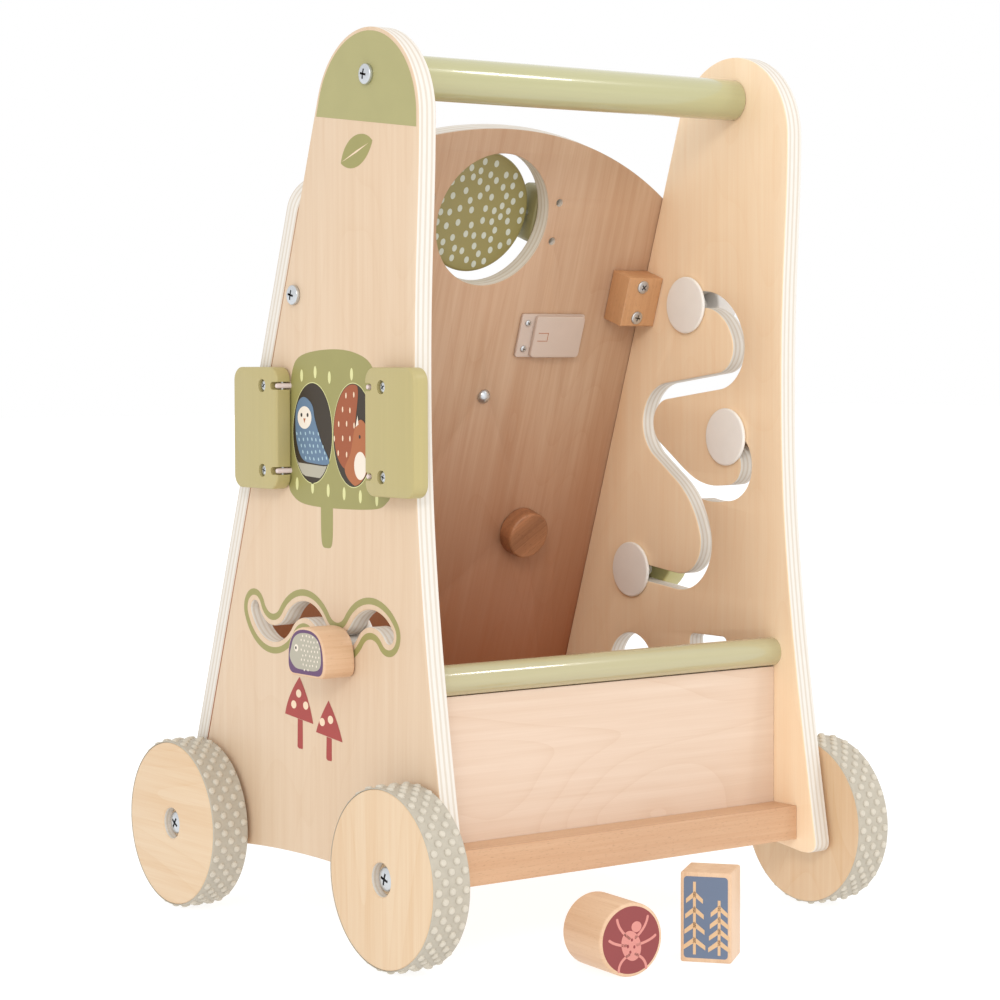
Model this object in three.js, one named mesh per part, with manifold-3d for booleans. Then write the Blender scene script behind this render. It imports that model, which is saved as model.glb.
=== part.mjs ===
// Wooden baby walker with activity panels, in millimetres.
// +Z is up, +Y is the direction of travel (away from the child), +X is the child's right.
// The origin is on the floor, at the centre of the footprint with the loose blocks included.
import * as THREE from 'three';
import { mergeVertices } from 'three/addons/utils/BufferGeometryUtils.js';
import Module from 'manifold-3d';

const wasm = await Module();
wasm.setup();

const DEG = Math.PI / 180;

// The point of a slot's bend at an angle from +Y towards +Z.
function onBend({ y, z, radius }, degrees) {
  return { y: y + radius * Math.cos(degrees * DEG), z: z + radius * Math.sin(degrees * DEG) };
}

// ---------------------------------------------------------------- driving dimensions
const GAP = 0.3; // between pieces that touch
const HALF_WIDTH = 143; // centre to the outer face of a side panel
const PLY = 12; // side and front panels
const LEAN_DEG = 18.4; // front panel, from the vertical
const FRONT_FOOT_Y = 148.8; // back face of the front panel carried down to the floor

const AXLE_Y = 114.2; // wheel axles, fore and aft of the middle
const TYRE_RADIUS = 52;
const TYRE_INNER_RADIUS = 49.9;
const WHEEL_WIDTH = 24.5;
const WHEEL_TO_PANEL = 2.4;
const WHEEL_SEGMENTS = 36;
const AXLE_RADIUS = 4;
const AXLE_HEAD_RADIUS = 6.8;
const AXLE_SEAT = 10.5; // length of the bolt in the panel
const HUB_RADIUS = 11;
const HUB_RECESS_RADIUS = 9.5;
const HUB_RECESS_DEPTH = 6;

const TOP_ARC = { y: -63, z: 472, radius: 52 };
const REAR_WAIST = { y: -110, z: 325 };
const REAR_FOOT = { y: -141.5, z: 44 };
const FOOT_Z = 36;
const FOOT_INSET = 8;
const ARCH_HALF_SPAN = 128;
const ARCH_TOP_Z = 45.5;

const HANDLE = { y: -65.2, z: 497.4, radius: 12.6 };
const RAIL = { y: -102.1, z: 156.8, radius: 8.8, seat: 6 };
const STRIP = { rearY: -125.2, topZ: 64, size: 20.5 };
const LOW_PANEL = { rearY: -104.4, thickness: 9, bottomZ: 46 };
const TRAY = { bottomZ: 46, thickness: 8 };

const FRONT = { bottom: 49, apex: 503, arcRadius: 242, cornerRadius: 20 };
const FLIP_HOLE = { s: 445.5, radius: 42 };
const FLIP_DISC = { radius: 38.5, thickness: 9, edge: 1.5, offset: 21.5, axleRadius: 2.5, axleSeat: 10 };
const FLIP_BRACKET = {
  innerX: 40.5, outerX: 57, height: 36, thickness: 17, corner: 4, screwX: 49, screwPitch: 25, screwRadius: 2.4,
};

const GEAR_MODULE = 5.27;
const GEAR_THICKNESS = 12;
const GEAR_STANDOFF = 1.5;
const UPPER_GEAR = { x: 19, s: 330.5, teeth: 22 };
const LOWER_GEAR = { x: 69.2, s: 237.8, teeth: 18 };
const GEAR_BOLT = { radius: 3, headRadius: 4.6, headHeight: 3, capRadius: 9, capHeight: 4 };
const TURN_KNOB = { radius: 15.5, length: 12, shaftRadius: 5, capRadius: 10, capHeight: 4, corner: 1.5 };
const CLICKER = { x: 61, s: 371.5, width: 50, height: 28.5, thickness: 5, flange: 10, flangeThickness: 2.2 };
const CLICKER_FINGER = { x: 57, width: 6, height: 4, clear: 4 };
const CLICKER_SCREW = { radius: 1.5, headRadius: 2.4, headHeight: 1.4, length: 7, inset: 5, pitch: 17 };
const CORNER_BLOCK = {
  innerX: 103, s: 399.3, height: 32.5, depth: 18, boltDepth: 12, screwX: 115, screwPitch: 20.5,
};

const BOLT = { radius: 3, headRadius: 5.8, handleGrip: 30, blockGrip: 19 };
const SCREW = { radius: 2.1, headRadius: 4.2, headDepth: 3, grip: 7.5 };

const FLAP = {
  width: 48, height: 72, thickness: 10, centreZ: 297, corner: 8, hingeInset: 1.6, standOff: 0.6,
};
const FLAP_POST = {
  pitch: 50, radius: 1.6, tip: 4.6, notchHeight: 4.6, notchDepth: 6.9, seat: 6, pinRadius: 0.65, pinTail: 6,
};
const FLAP_EDGE_Y = { front: 15.5, rear: -76.5 };
const FLAP_SCREW = { inset: 16.2, radius: 3.9, depth: 4.5 };

const SLOT_WIDTH = 10.2;
const SLIDER = { discRadius: 18, discThickness: 2.5, shaftRadius: 4.3, socket: 8, clear: 0.6, figure: 16 };
const ENTRY_BEND = { y: -37.4, z: 340.5, radius: 34 };
const TOP_BEND = { y: -49.6, z: 344.2, radius: 21.4 };
const MIDDLE_BEND = { y: -4, z: 295.8, radius: 20.7 };
const DIAGONAL_BEND = { y: 25.5, z: 208.7, radius: 67.8 };
const LOWER_BEND = { y: -14.5, z: 220.4, radius: 26.1 };
const SIDE_LOOP = { y: -61, z: 270.6, radius: 17.6 };
const LOOP_EXIT = { y: -49.3, z: 306, radius: 54 };
const LOOP_JOINS_AT = { y: -14.5, z: 265.2 };
const SLIDER_HOMES = [onBend(ENTRY_BEND, 64.5), onBend(SIDE_LOOP, 90), { y: 31.8, z: 199.4 }];

const WAVE_SLOT_WIDTH = 9.7;
const WAVE = { dipY: -31.5, dipZ: 173.8, halfPitch: 34.8, height: 16.9, frontEndDeg: 67.8, rearEndDeg: 51.9 };
const WAVE_KNOB = { width: 39, height: 28.5, length: 21, shaftRadius: 4, drop: 3.8 };

const ROUND_SORTER = { y: 34, z: 135.4, radius: 22 };
const SQUARE_SORTER = { y: -42.5, z: 135, width: 35, height: 54, corner: 4 };
const ROUND_BLOCK = { x: -63.7, y: -185, radius: 20.5, length: 38, edge: 1.2, turnDeg: -6 };
const SQUARE_BLOCK = { x: 1, y: -193.5, width: 29, height: 51, edge: 1.5, turnDeg: -52 };

// ---------------------------------------------------------------- derived dimensions
const lean = LEAN_DEG * DEG;
const innerX = HALF_WIDTH - PLY;
const insideX = innerX - GAP;
const wheelInnerX = HALF_WIDTH + WHEEL_TO_PANEL;
const squareTurn = SQUARE_BLOCK.turnDeg * DEG;
const squareCore = SQUARE_BLOCK.width / 2 - SQUARE_BLOCK.edge;
const squareSpread = Math.abs(Math.sin(squareTurn)) + Math.cos(squareTurn);
const squareReach = squareCore * squareSpread + SQUARE_BLOCK.edge;
const rearReach = squareReach - SQUARE_BLOCK.y;
const frontReach = AXLE_Y + TYRE_RADIUS;
const originShiftY = (rearReach - frontReach) / 2;

// ---------------------------------------------------------------- solids
function solid(geometry) {
  const bare = geometry.index ? geometry.toNonIndexed() : geometry.clone();
  bare.deleteAttribute('normal');
  bare.deleteAttribute('uv');
  const merged = mergeVertices(bare, 1e-4);
  return new wasm.Manifold(new wasm.Mesh({
    numProp: 3,
    vertProperties: new Float32Array(merged.attributes.position.array),
    triVerts: new Uint32Array(merged.index.array),
  }));
}

function geometryOf(manifold) {
  const mesh = manifold.getMesh();
  const geometry = new THREE.BufferGeometry();
  geometry.setAttribute('position', new THREE.BufferAttribute(mesh.vertProperties, 3));
  geometry.setIndex(new THREE.BufferAttribute(mesh.triVerts, 1));
  geometry.computeVertexNormals();
  return geometry;
}

function cut(base, tools) {
  return geometryOf(tools.reduce((body, tool) => body.subtract(solid(tool)), solid(base)));
}

function join(pieces) {
  const [first, ...others] = pieces.map(solid);
  return geometryOf(others.reduce((body, piece) => body.add(piece), first));
}

function extrude(shape, depth, curveSegments = 12) {
  return new THREE.ExtrudeGeometry(shape, { depth, bevelEnabled: false, curveSegments });
}

// A round piece along +Z from a list of [radius, height] corners.
function turned(corners, segments = 24) {
  const profile = corners.map(([radius, height]) => new THREE.Vector2(radius, height));
  return new THREE.LatheGeometry(profile, segments).rotateX(Math.PI / 2);
}

function rod(radius, from, to, segments = 16) {
  return turned([[0, from], [radius, from], [radius, to], [0, to]], segments);
}

function box(x0, x1, y0, y1, z0, z1) {
  const geometry = new THREE.BoxGeometry(x1 - x0, y1 - y0, z1 - z0);
  return geometry.translate((x0 + x1) / 2, (y0 + y1) / 2, (z0 + z1) / 2);
}

// Shapes drawn in (Y, Z) and extruded along +X.
const yzToWorld = new THREE.Matrix4().makeBasis(
  new THREE.Vector3(0, 1, 0),
  new THREE.Vector3(0, 0, 1),
  new THREE.Vector3(1, 0, 0),
);

function sideways(geometry, x = 0, y = 0, z = 0) {
  return geometry.applyMatrix4(yzToWorld).translate(x, y, z);
}

function roundedRectangle(width, height, corner) {
  const [x, y] = [width / 2, height / 2];
  const shape = new THREE.Shape();
  shape.moveTo(-x + corner, -y);
  shape.lineTo(x - corner, -y);
  shape.absarc(x - corner, -y + corner, corner, -Math.PI / 2, 0);
  shape.lineTo(x, y - corner);
  shape.absarc(x - corner, y - corner, corner, 0, Math.PI / 2);
  shape.lineTo(-x + corner, y);
  shape.absarc(-x + corner, y - corner, corner, Math.PI / 2, Math.PI);
  shape.lineTo(-x, -y + corner);
  shape.absarc(-x + corner, -y + corner, corner, Math.PI, 1.5 * Math.PI);
  return shape;
}

function circle(radius) {
  const shape = new THREE.Shape();
  shape.absarc(0, 0, radius, 0, 2 * Math.PI);
  return shape;
}

// ---------------------------------------------------------------- slots
// The angle of each straight step round a bend, so that the steps stay close to the true arc.
function bendStep(radius) {
  return Math.min(18 * DEG, 2 * Math.acos(1 - 0.15 / radius));
}

// A route is a list of bends {y, z, radius, turn}, turn +1 anticlockwise and -1 clockwise in (Y, Z).
// Its first and last entries are plain points. Straight runs touch each bend.
function routePoints(route) {
  const bends = route.map((bend) => ({ radius: 0, turn: 0, ...bend }));
  const headings = [];
  for (let i = 0; i + 1 < bends.length; i += 1) {
    const [from, to] = [bends[i], bends[i + 1]];
    const [dy, dz] = [to.y - from.y, to.z - from.z];
    const offset = (to.turn * to.radius - from.turn * from.radius) / Math.hypot(dy, dz);
    headings.push(Math.atan2(dz, dy) - Math.asin(THREE.MathUtils.clamp(offset, -1, 1)));
  }
  const points = [new THREE.Vector2(bends[0].y, bends[0].z)];
  for (let i = 1; i + 1 < bends.length; i += 1) {
    const { y, z, radius, turn } = bends[i];
    const start = headings[i - 1];
    let sweep = headings[i] - start;
    while (sweep * turn < 0) sweep += turn * 2 * Math.PI;
    while (Math.abs(sweep) > 2 * Math.PI) sweep -= turn * 2 * Math.PI;
    const steps = Math.ceil(Math.abs(sweep) / bendStep(radius));
    for (let k = 0; k <= steps; k += 1) {
      const heading = start + sweep * k / steps;
      const [across, up] = [turn * radius * Math.sin(heading), turn * radius * Math.cos(heading)];
      points.push(new THREE.Vector2(y + across, z - up));
    }
  }
  const last = bends.at(-1);
  points.push(new THREE.Vector2(last.y, last.z));
  return points.filter((point, i) => i === 0 || point.distanceTo(points[i - 1]) > 0.05);
}

// The outline of a slot of the given width along the points, with round ends.
function slotShape(points, width) {
  const half = width / 2;
  const heading = (a, b) => Math.atan2(b.y - a.y, b.x - a.x);
  const at = (point, angle) => {
    return new THREE.Vector2(point.x + half * Math.cos(angle), point.y + half * Math.sin(angle));
  };
  const sides = [1, -1].map((side) => points.map((point, i) => {
    const before = points[Math.max(i - 1, 0)];
    const after = points[Math.min(i + 1, points.length - 1)];
    return at(point, heading(before, after) + side * Math.PI / 2);
  }));
  const cap = (point, angle) => [1, 2, 3, 4, 5].map((k) => at(point, angle - k * Math.PI / 6));
  const endCap = cap(points.at(-1), heading(points.at(-2), points.at(-1)) + Math.PI / 2);
  const startCap = cap(points[0], heading(points[0], points[1]) - Math.PI / 2);
  return new THREE.Shape([...sides[0], ...endCap, ...sides[1].reverse(), ...startCap]);
}

const mainRoute = [
  SLIDER_HOMES[0],
  { ...ENTRY_BEND, turn: 1 },
  { ...TOP_BEND, turn: 1 },
  { ...MIDDLE_BEND, turn: -1 },
  { ...DIAGONAL_BEND, turn: 1 },
  { ...LOWER_BEND, turn: 1 },
  SLIDER_HOMES[2],
];
const loopRoute = [
  SLIDER_HOMES[1],
  { ...SIDE_LOOP, turn: 1 },
  { ...LOOP_EXIT, turn: 1 },
  LOOP_JOINS_AT,
];

const waveRadius = (WAVE.halfPitch ** 2 + WAVE.height ** 2) / (4 * WAVE.height);
const crestZ = WAVE.dipZ + WAVE.height - waveRadius;
const dipZ = WAVE.dipZ + waveRadius;
const waveCentres = [1, 0, -1].map((k) => WAVE.dipY + 2 * k * WAVE.halfPitch);

function wavePoints() {
  const reach = Math.asin(WAVE.halfPitch / 2 / waveRadius);
  const arcs = [
    { y: waveCentres[0], z: dipZ, from: WAVE.frontEndDeg * DEG, to: -reach, up: -1 },
    { y: waveCentres[0] - WAVE.halfPitch, z: crestZ, from: reach, to: -reach, up: 1 },
    { y: waveCentres[1], z: dipZ, from: reach, to: -reach, up: -1 },
    { y: waveCentres[1] - WAVE.halfPitch, z: crestZ, from: reach, to: -WAVE.rearEndDeg * DEG, up: 1 },
  ];
  const points = [];
  for (const { y, z, from, to, up } of arcs) {
    const steps = Math.ceil(Math.abs(to - from) / bendStep(waveRadius));
    for (let k = points.length ? 1 : 0; k <= steps; k += 1) {
      const angle = from + (to - from) * k / steps;
      const [across, rise] = [waveRadius * Math.sin(angle), up * waveRadius * Math.cos(angle)];
      points.push(new THREE.Vector2(y + across, z + rise));
    }
  }
  return points;
}

// ---------------------------------------------------------------- materials
// Each of these makes a new material, so that every mesh has one of its own.
function paint(color, roughness, metalness = 0) {
  return () => new THREE.MeshStandardMaterial({ color, roughness, metalness });
}

const plywood = paint(0xe8cfa9, 0.55);
const wheelPlywood = paint(0xeacfa4, 0.5);
const beech = paint(0xd9b48c, 0.55);
const greenPaint = paint(0xc9c189, 0.45);
const oliveGreen = paint(0xb9b57e, 0.45);
const rubber = paint(0xbeb9ac, 0.8);
const zinc = paint(0xb9bec4, 0.35, 0.9);
const frosted = paint(0xe9e6e0, 0.4);

// ---------------------------------------------------------------- assembly
const walker = new THREE.Group();
walker.position.set(0, originShiftY, 0);

// The front group: x across, y up the slope of the front panel, z out of its back face towards the child.
const front = new THREE.Group();
front.position.set(0, FRONT_FOOT_Y + GAP, 0);
front.rotation.x = Math.PI / 2 + lean;
walker.add(front);

function place(name, geometry, material, parent = walker) {
  const mesh = new THREE.Mesh(geometry, material());
  mesh.name = name;
  parent.add(mesh);
  return mesh;
}

const sideBolt = (() => {
  const up = CORNER_BLOCK.s;
  const out = CORNER_BLOCK.boltDepth;
  return {
    y: FRONT_FOOT_Y + GAP - up * Math.sin(lean) - out * Math.cos(lean),
    z: up * Math.cos(lean) - out * Math.sin(lean),
  };
})();

function frontEdgeY(z) {
  return FRONT_FOOT_Y - z * Math.tan(lean);
}

const clickerScrewX = CLICKER.x - CLICKER.width / 2 + CLICKER_SCREW.inset;

// ---------------------------------------------------------------- side panels
function sidePanelShape() {
  const archHeight = ARCH_TOP_Z - FOOT_Z;
  const archRadius = (ARCH_HALF_SPAN ** 2 + archHeight ** 2) / (2 * archHeight);
  const archAngle = Math.asin(ARCH_HALF_SPAN / archRadius);
  const frontFootZ = FOOT_Z + FOOT_INSET;
  const shape = new THREE.Shape();
  shape.moveTo(-ARCH_HALF_SPAN, FOOT_Z);
  shape.absarc(0, ARCH_TOP_Z - archRadius, archRadius, Math.PI / 2 + archAngle, Math.PI / 2 - archAngle, true);
  shape.quadraticCurveTo(frontEdgeY(FOOT_Z), FOOT_Z, frontEdgeY(frontFootZ), frontFootZ);
  shape.absarc(TOP_ARC.y, TOP_ARC.z, TOP_ARC.radius, lean, Math.PI);
  const shoulderY = TOP_ARC.y - TOP_ARC.radius;
  const { y: waistY, z: waistZ } = REAR_WAIST;
  const { y: footY, z: footZ } = REAR_FOOT;
  shape.bezierCurveTo(shoulderY, TOP_ARC.z - 50, waistY, waistZ + 70, waistY, waistZ);
  shape.bezierCurveTo(waistY, waistZ - 90, footY + 23, footZ + 130, footY, footZ);
  shape.quadraticCurveTo(footY - 1, FOOT_Z, footY + 10, FOOT_Z);
  return shape;
}

// Holes that both side panels have, for a panel between x0 and x0 + PLY whose inside is at inX.
function sharedPanelHoles(x0, inX) {
  const towardsInside = Math.sign(inX - (x0 + PLY / 2));
  const railSeat = sideways(rod(RAIL.radius + GAP, 0, RAIL.seat + 1, 24), 0, RAIL.y, RAIL.z);
  railSeat.translate(towardsInside > 0 ? inX - RAIL.seat : inX - 1, 0, 0);
  const through = (radius, y, z) => sideways(rod(radius, -1, PLY + 1), x0, y, z);
  return [
    railSeat,
    through(BOLT.radius + GAP, HANDLE.y, HANDLE.z),
    through(BOLT.radius + GAP, sideBolt.y, sideBolt.z),
    through(AXLE_RADIUS + GAP, -AXLE_Y, TYRE_RADIUS),
    through(AXLE_RADIUS + GAP, AXLE_Y, TYRE_RADIUS),
  ];
}

function slotCutter(points, width, x0) {
  return sideways(extrude(slotShape(points, width), PLY + 2), x0 - 1);
}

function addSidePanels() {
  const leftX = -HALF_WIDTH;
  const left = sideways(extrude(sidePanelShape(), PLY, 9), leftX);
  const postSeats = [];
  for (const y of [flapAxisY('front'), flapAxisY('rear')]) {
    for (const z of flapPostHeights()) {
      postSeats.push(sideways(rod(FLAP_POST.radius + GAP, -1, FLAP_POST.seat + GAP, 12), leftX, y, z));
    }
  }
  const leftTools = [
    ...sharedPanelHoles(leftX, -innerX),
    slotCutter(wavePoints(), WAVE_SLOT_WIDTH, leftX),
    ...postSeats,
  ];
  place('left_side_panel', cut(left, leftTools), plywood);

  const right = sideways(extrude(sidePanelShape(), PLY, 9), innerX);
  const { width, height, corner } = SQUARE_SORTER;
  const squareHole = extrude(roundedRectangle(width, height, corner), PLY + 2, 4);
  const roundHole = extrude(circle(ROUND_SORTER.radius), PLY + 2, 16);
  const rightTools = [
    ...sharedPanelHoles(innerX, innerX),
    slotCutter(routePoints(mainRoute), SLOT_WIDTH, innerX),
    slotCutter(routePoints(loopRoute), SLOT_WIDTH, innerX),
    sideways(roundHole, innerX - 1, ROUND_SORTER.y, ROUND_SORTER.z),
    sideways(squareHole, innerX - 1, SQUARE_SORTER.y, SQUARE_SORTER.z),
  ];
  place('right_side_panel', cut(right, rightTools), plywood);
}

// ---------------------------------------------------------------- front panel and what it carries
function frontPanelShape() {
  const { bottom, apex, arcRadius, cornerRadius } = FRONT;
  const centre = apex - arcRadius;
  const cornerX = HALF_WIDTH - cornerRadius;
  const cornerS = centre + Math.sqrt((arcRadius - cornerRadius) ** 2 - cornerX ** 2);
  const tangent = Math.atan2(cornerS - centre, cornerX);
  const shape = new THREE.Shape();
  shape.moveTo(-HALF_WIDTH, bottom);
  shape.lineTo(HALF_WIDTH, bottom);
  shape.absarc(cornerX, cornerS, cornerRadius, 0, tangent);
  shape.absarc(0, centre, arcRadius, tangent, Math.PI - tangent);
  shape.absarc(-cornerX, cornerS, cornerRadius, Math.PI - tangent, Math.PI);
  shape.lineTo(-HALF_WIDTH, bottom);
  return shape;
}

// A countersunk screw along +Z, its head flush at z = 0; grow widens it into the hole that it fits.
function countersunk(length, grow = 0) {
  const head = SCREW.headRadius + grow;
  const shank = SCREW.radius + grow;
  const top = grow ? 1 : 0;
  return turned([
    [0, -length - grow], [shank, -length - grow], [shank, -SCREW.headDepth - grow],
    [head, -grow], [head, top], [0, top],
  ], 12);
}

function cornerScrewPlaces() {
  const half = CORNER_BLOCK.screwPitch / 2;
  return [CORNER_BLOCK.s + half, CORNER_BLOCK.s - half];
}

function addFrontPanel() {
  const board = extrude(frontPanelShape(), PLY, 12).translate(0, 0, -PLY);
  const through = (radius, x, s, segments = 16) => rod(radius, -PLY - 1, 1, segments).translate(x, s, 0);
  const tools = [
    through(FLIP_HOLE.radius, 0, FLIP_HOLE.s, 40),
    through(GEAR_BOLT.radius + GAP, UPPER_GEAR.x, UPPER_GEAR.s),
    through(TURN_KNOB.shaftRadius + GAP, LOWER_GEAR.x, LOWER_GEAR.s),
    clickerFinger(CLICKER_FINGER.clear, -PLY - 1),
  ];
  for (const side of [-1, 1]) {
    for (const s of [-0.5, 0.5]) {
      const screwS = FLIP_HOLE.s + s * FLIP_BRACKET.screwPitch;
      tools.push(through(FLIP_BRACKET.screwRadius, side * FLIP_BRACKET.screwX, screwS, 12));
    }
    for (const s of cornerScrewPlaces()) {
      const hole = rod(SCREW.radius + GAP, -SCREW.grip - 1.5, 1, 12);
      tools.push(hole.translate(side * CORNER_BLOCK.screwX, s, 0));
    }
  }
  for (const s of clickerScrewPlaces()) {
    const hole = rod(CLICKER_SCREW.radius + GAP, -CLICKER_SCREW.length - 1, 1, 12);
    tools.push(hole.translate(clickerScrewX, s, 0));
  }
  place('front_panel', cut(board, tools), plywood, front);
}

function addCornerBlocks() {
  const { innerX: nearX, s, height, depth, boltDepth, screwX } = CORNER_BLOCK;
  for (const [side, label] of [[-1, 'left'], [1, 'right']]) {
    const [x0, x1] = side > 0 ? [nearX, insideX] : [-insideX, -nearX];
    const block = box(x0, x1, s - height / 2, s + height / 2, GAP, depth);
    const boltHole = rod(BOLT.radius + GAP, 0, BOLT.blockGrip + 3).rotateY(-side * Math.PI / 2);
    boltHole.translate(side * (insideX + 1), s, boltDepth);
    const screwHoles = cornerScrewPlaces().map((screwS) => {
      return countersunk(depth + SCREW.grip, GAP).translate(side * screwX, screwS, depth);
    });
    place(`corner_block_${label}`, cut(block, [boltHole, ...screwHoles]), beech, front);
    cornerScrewPlaces().forEach((screwS, i) => {
      const screw = countersunk(depth + SCREW.grip).translate(side * screwX, screwS, depth);
      place(`corner_screw_${label}_${i + 1}`, screw, zinc, front);
    });
  }
}

function clickerScrewPlaces() {
  return [CLICKER.s + CLICKER_SCREW.pitch / 2, CLICKER.s - CLICKER_SCREW.pitch / 2];
}

// The finger that reaches through the front panel to the gear's rim; grow widens it into its window.
function clickerFinger(grow, fromZ) {
  const x = CLICKER_FINGER.width / 2 + grow;
  const s = CLICKER_FINGER.height / 2 + grow;
  return box(CLICKER_FINGER.x - x, CLICKER_FINGER.x + x, CLICKER.s - s, CLICKER.s + s, fromZ, 1);
}

function addClicker() {
  const { x, s, width, height, thickness, flange, flangeThickness } = CLICKER;
  const [x0, x1] = [x - width / 2, x + width / 2];
  const [s0, s1] = [s - height / 2, s + height / 2];
  const housing = box(x0 + flange, x1, s0, s1, GAP, thickness);
  const flangePlate = box(x0, x0 + flange + 1, s0, s1, GAP, flangeThickness);
  const finger = clickerFinger(0, -PLY - GEAR_STANDOFF + 2 * GAP);
  const { radius, headRadius, headHeight, length } = CLICKER_SCREW;
  const screwHoles = clickerScrewPlaces().map((screwS) => {
    return rod(radius + GAP, -1, flangeThickness + 1, 12).translate(clickerScrewX, screwS, 0);
  });
  place('clicker_plate', cut(join([housing, flangePlate, finger]), screwHoles), frosted, front);
  clickerScrewPlaces().forEach((screwS, i) => {
    const seat = flangeThickness + GAP;
    const screw = turned([
      [0, -length], [radius, -length], [radius, seat], [headRadius, seat],
      [headRadius - 0.5, seat + headHeight], [0, seat + headHeight],
    ], 10);
    place(`clicker_screw_${i + 1}`, screw.translate(clickerScrewX, screwS, 0), zinc, front);
  });
}

function addFlipDisc() {
  const { radius, thickness, edge, offset, axleRadius } = FLIP_DISC;
  const { innerX: nearX, outerX, height, corner, thickness: bracketThickness } = FLIP_BRACKET;
  const half = thickness / 2;
  const disc = turned([
    [0, -half], [radius - edge, -half], [radius, -half + edge],
    [radius, half - edge], [radius - edge, half], [0, half],
  ], 36);
  const bore = rod(axleRadius + GAP, -radius - 1, radius + 1, 16).rotateY(Math.PI / 2);
  place('flip_disc', cut(disc, [bore]).translate(0, FLIP_HOLE.s, -offset), oliveGreen, front);
  const seatX = nearX + FLIP_DISC.axleSeat;
  const axle = rod(axleRadius, -seatX, seatX, 16).rotateY(Math.PI / 2);
  place('flip_axle', axle.translate(0, FLIP_HOLE.s, -offset), zinc, front);
  for (const [side, label] of [[-1, 'left'], [1, 'right']]) {
    const middle = (nearX + outerX) / 2;
    const block = extrude(roundedRectangle(outerX - nearX, height, corner), bracketThickness - GAP, 4);
    block.translate(side * middle, FLIP_HOLE.s, -PLY - bracketThickness);
    const seat = rod(axleRadius + GAP, -seatX - GAP, seatX + GAP, 16).rotateY(Math.PI / 2);
    seat.translate(0, FLIP_HOLE.s, -offset);
    place(`flip_bracket_${label}`, cut(block, [seat]), oliveGreen, front);
  }
}

// ---------------------------------------------------------------- gears
function gearShape(teeth) {
  const pressure = 22 * DEG;
  const pitchRadius = GEAR_MODULE * teeth / 2;
  const baseRadius = pitchRadius * Math.cos(pressure);
  const tipRadius = pitchRadius + 0.8 * GEAR_MODULE;
  const rootRadius = pitchRadius - 1.05 * GEAR_MODULE;
  const backlash = 0.5;
  const involute = (angle) => Math.tan(angle) - angle;
  const halfTooth = (Math.PI * GEAR_MODULE / 2 - backlash) / 2 / pitchRadius;
  const flankAngle = (radius) => {
    const angle = Math.acos(Math.min(1, baseRadius / radius));
    return halfTooth + involute(pressure) - involute(angle);
  };
  const flankStart = Math.max(rootRadius, baseRadius);
  const flankRadii = [flankStart, (flankStart + tipRadius) / 2, tipRadius];
  const points = [];
  const add = (radius, angle) => {
    points.push(new THREE.Vector2(radius * Math.cos(angle), radius * Math.sin(angle)));
  };
  for (let tooth = 0; tooth < teeth; tooth += 1) {
    const middle = 2 * Math.PI * tooth / teeth;
    add(rootRadius, middle - flankAngle(flankRadii[0]) - 0.01);
    flankRadii.forEach((radius) => add(radius, middle - flankAngle(radius)));
    [...flankRadii].reverse().forEach((radius) => add(radius, middle + flankAngle(radius)));
    add(rootRadius, middle + flankAngle(flankRadii[0]) + 0.01);
  }
  return new THREE.Shape(points);
}

function gearBlank(teeth, boreRadius) {
  const shape = gearShape(teeth);
  const bore = new THREE.Path();
  bore.absarc(0, 0, boreRadius, 0, 2 * Math.PI);
  shape.holes.push(bore);
  return extrude(shape, GEAR_THICKNESS, 12);
}

function addGears() {
  const backZ = -PLY - GEAR_STANDOFF;
  const towardsLower = Math.atan2(LOWER_GEAR.s - UPPER_GEAR.s, LOWER_GEAR.x - UPPER_GEAR.x);
  const upper = gearBlank(UPPER_GEAR.teeth, GEAR_BOLT.radius + GAP).rotateZ(towardsLower);
  upper.translate(UPPER_GEAR.x, UPPER_GEAR.s, backZ - GEAR_THICKNESS);
  place('gear_upper', upper, oliveGreen, front);
  const lower = gearBlank(LOWER_GEAR.teeth, TURN_KNOB.shaftRadius + GAP);
  lower.rotateZ(towardsLower + Math.PI + Math.PI / LOWER_GEAR.teeth);
  lower.translate(LOWER_GEAR.x, LOWER_GEAR.s, backZ - GEAR_THICKNESS);
  place('gear_lower', lower, beech, front);

  const frontZ = backZ - GEAR_THICKNESS - GAP;
  place('gear_bolt', gearBolt(frontZ).translate(UPPER_GEAR.x, UPPER_GEAR.s, 0), zinc, front);
  place('turn_knob', turnKnob(frontZ).translate(LOWER_GEAR.x, LOWER_GEAR.s, 0), beech, front);
}

// The round-head bolt and its cap nut, which closes on the gear's front face at frontZ.
function gearBolt(frontZ) {
  const { radius, headRadius, headHeight, capRadius, capHeight } = GEAR_BOLT;
  return turned([
    [0, frontZ - capHeight], [capRadius - 3, frontZ - capHeight], [capRadius, frontZ - capHeight / 2],
    [capRadius, frontZ], [radius, frontZ], [radius, GAP], [headRadius, GAP],
    [headRadius * 0.85, headHeight / 2], [headRadius * 0.5, headHeight], [0, headHeight + GAP],
  ], 16);
}

// The knob, its shaft and the cap on the gear's front face at frontZ.
function turnKnob(frontZ) {
  const { radius, length, shaftRadius, capRadius, capHeight, corner } = TURN_KNOB;
  return turned([
    [0, frontZ - capHeight], [capRadius - 2, frontZ - capHeight], [capRadius, frontZ - capHeight / 2],
    [capRadius, frontZ], [shaftRadius, frontZ], [shaftRadius, 2 * GAP], [radius, 2 * GAP],
    [radius, length - corner], [radius - corner, length], [0, length],
  ], 24);
}

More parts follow.
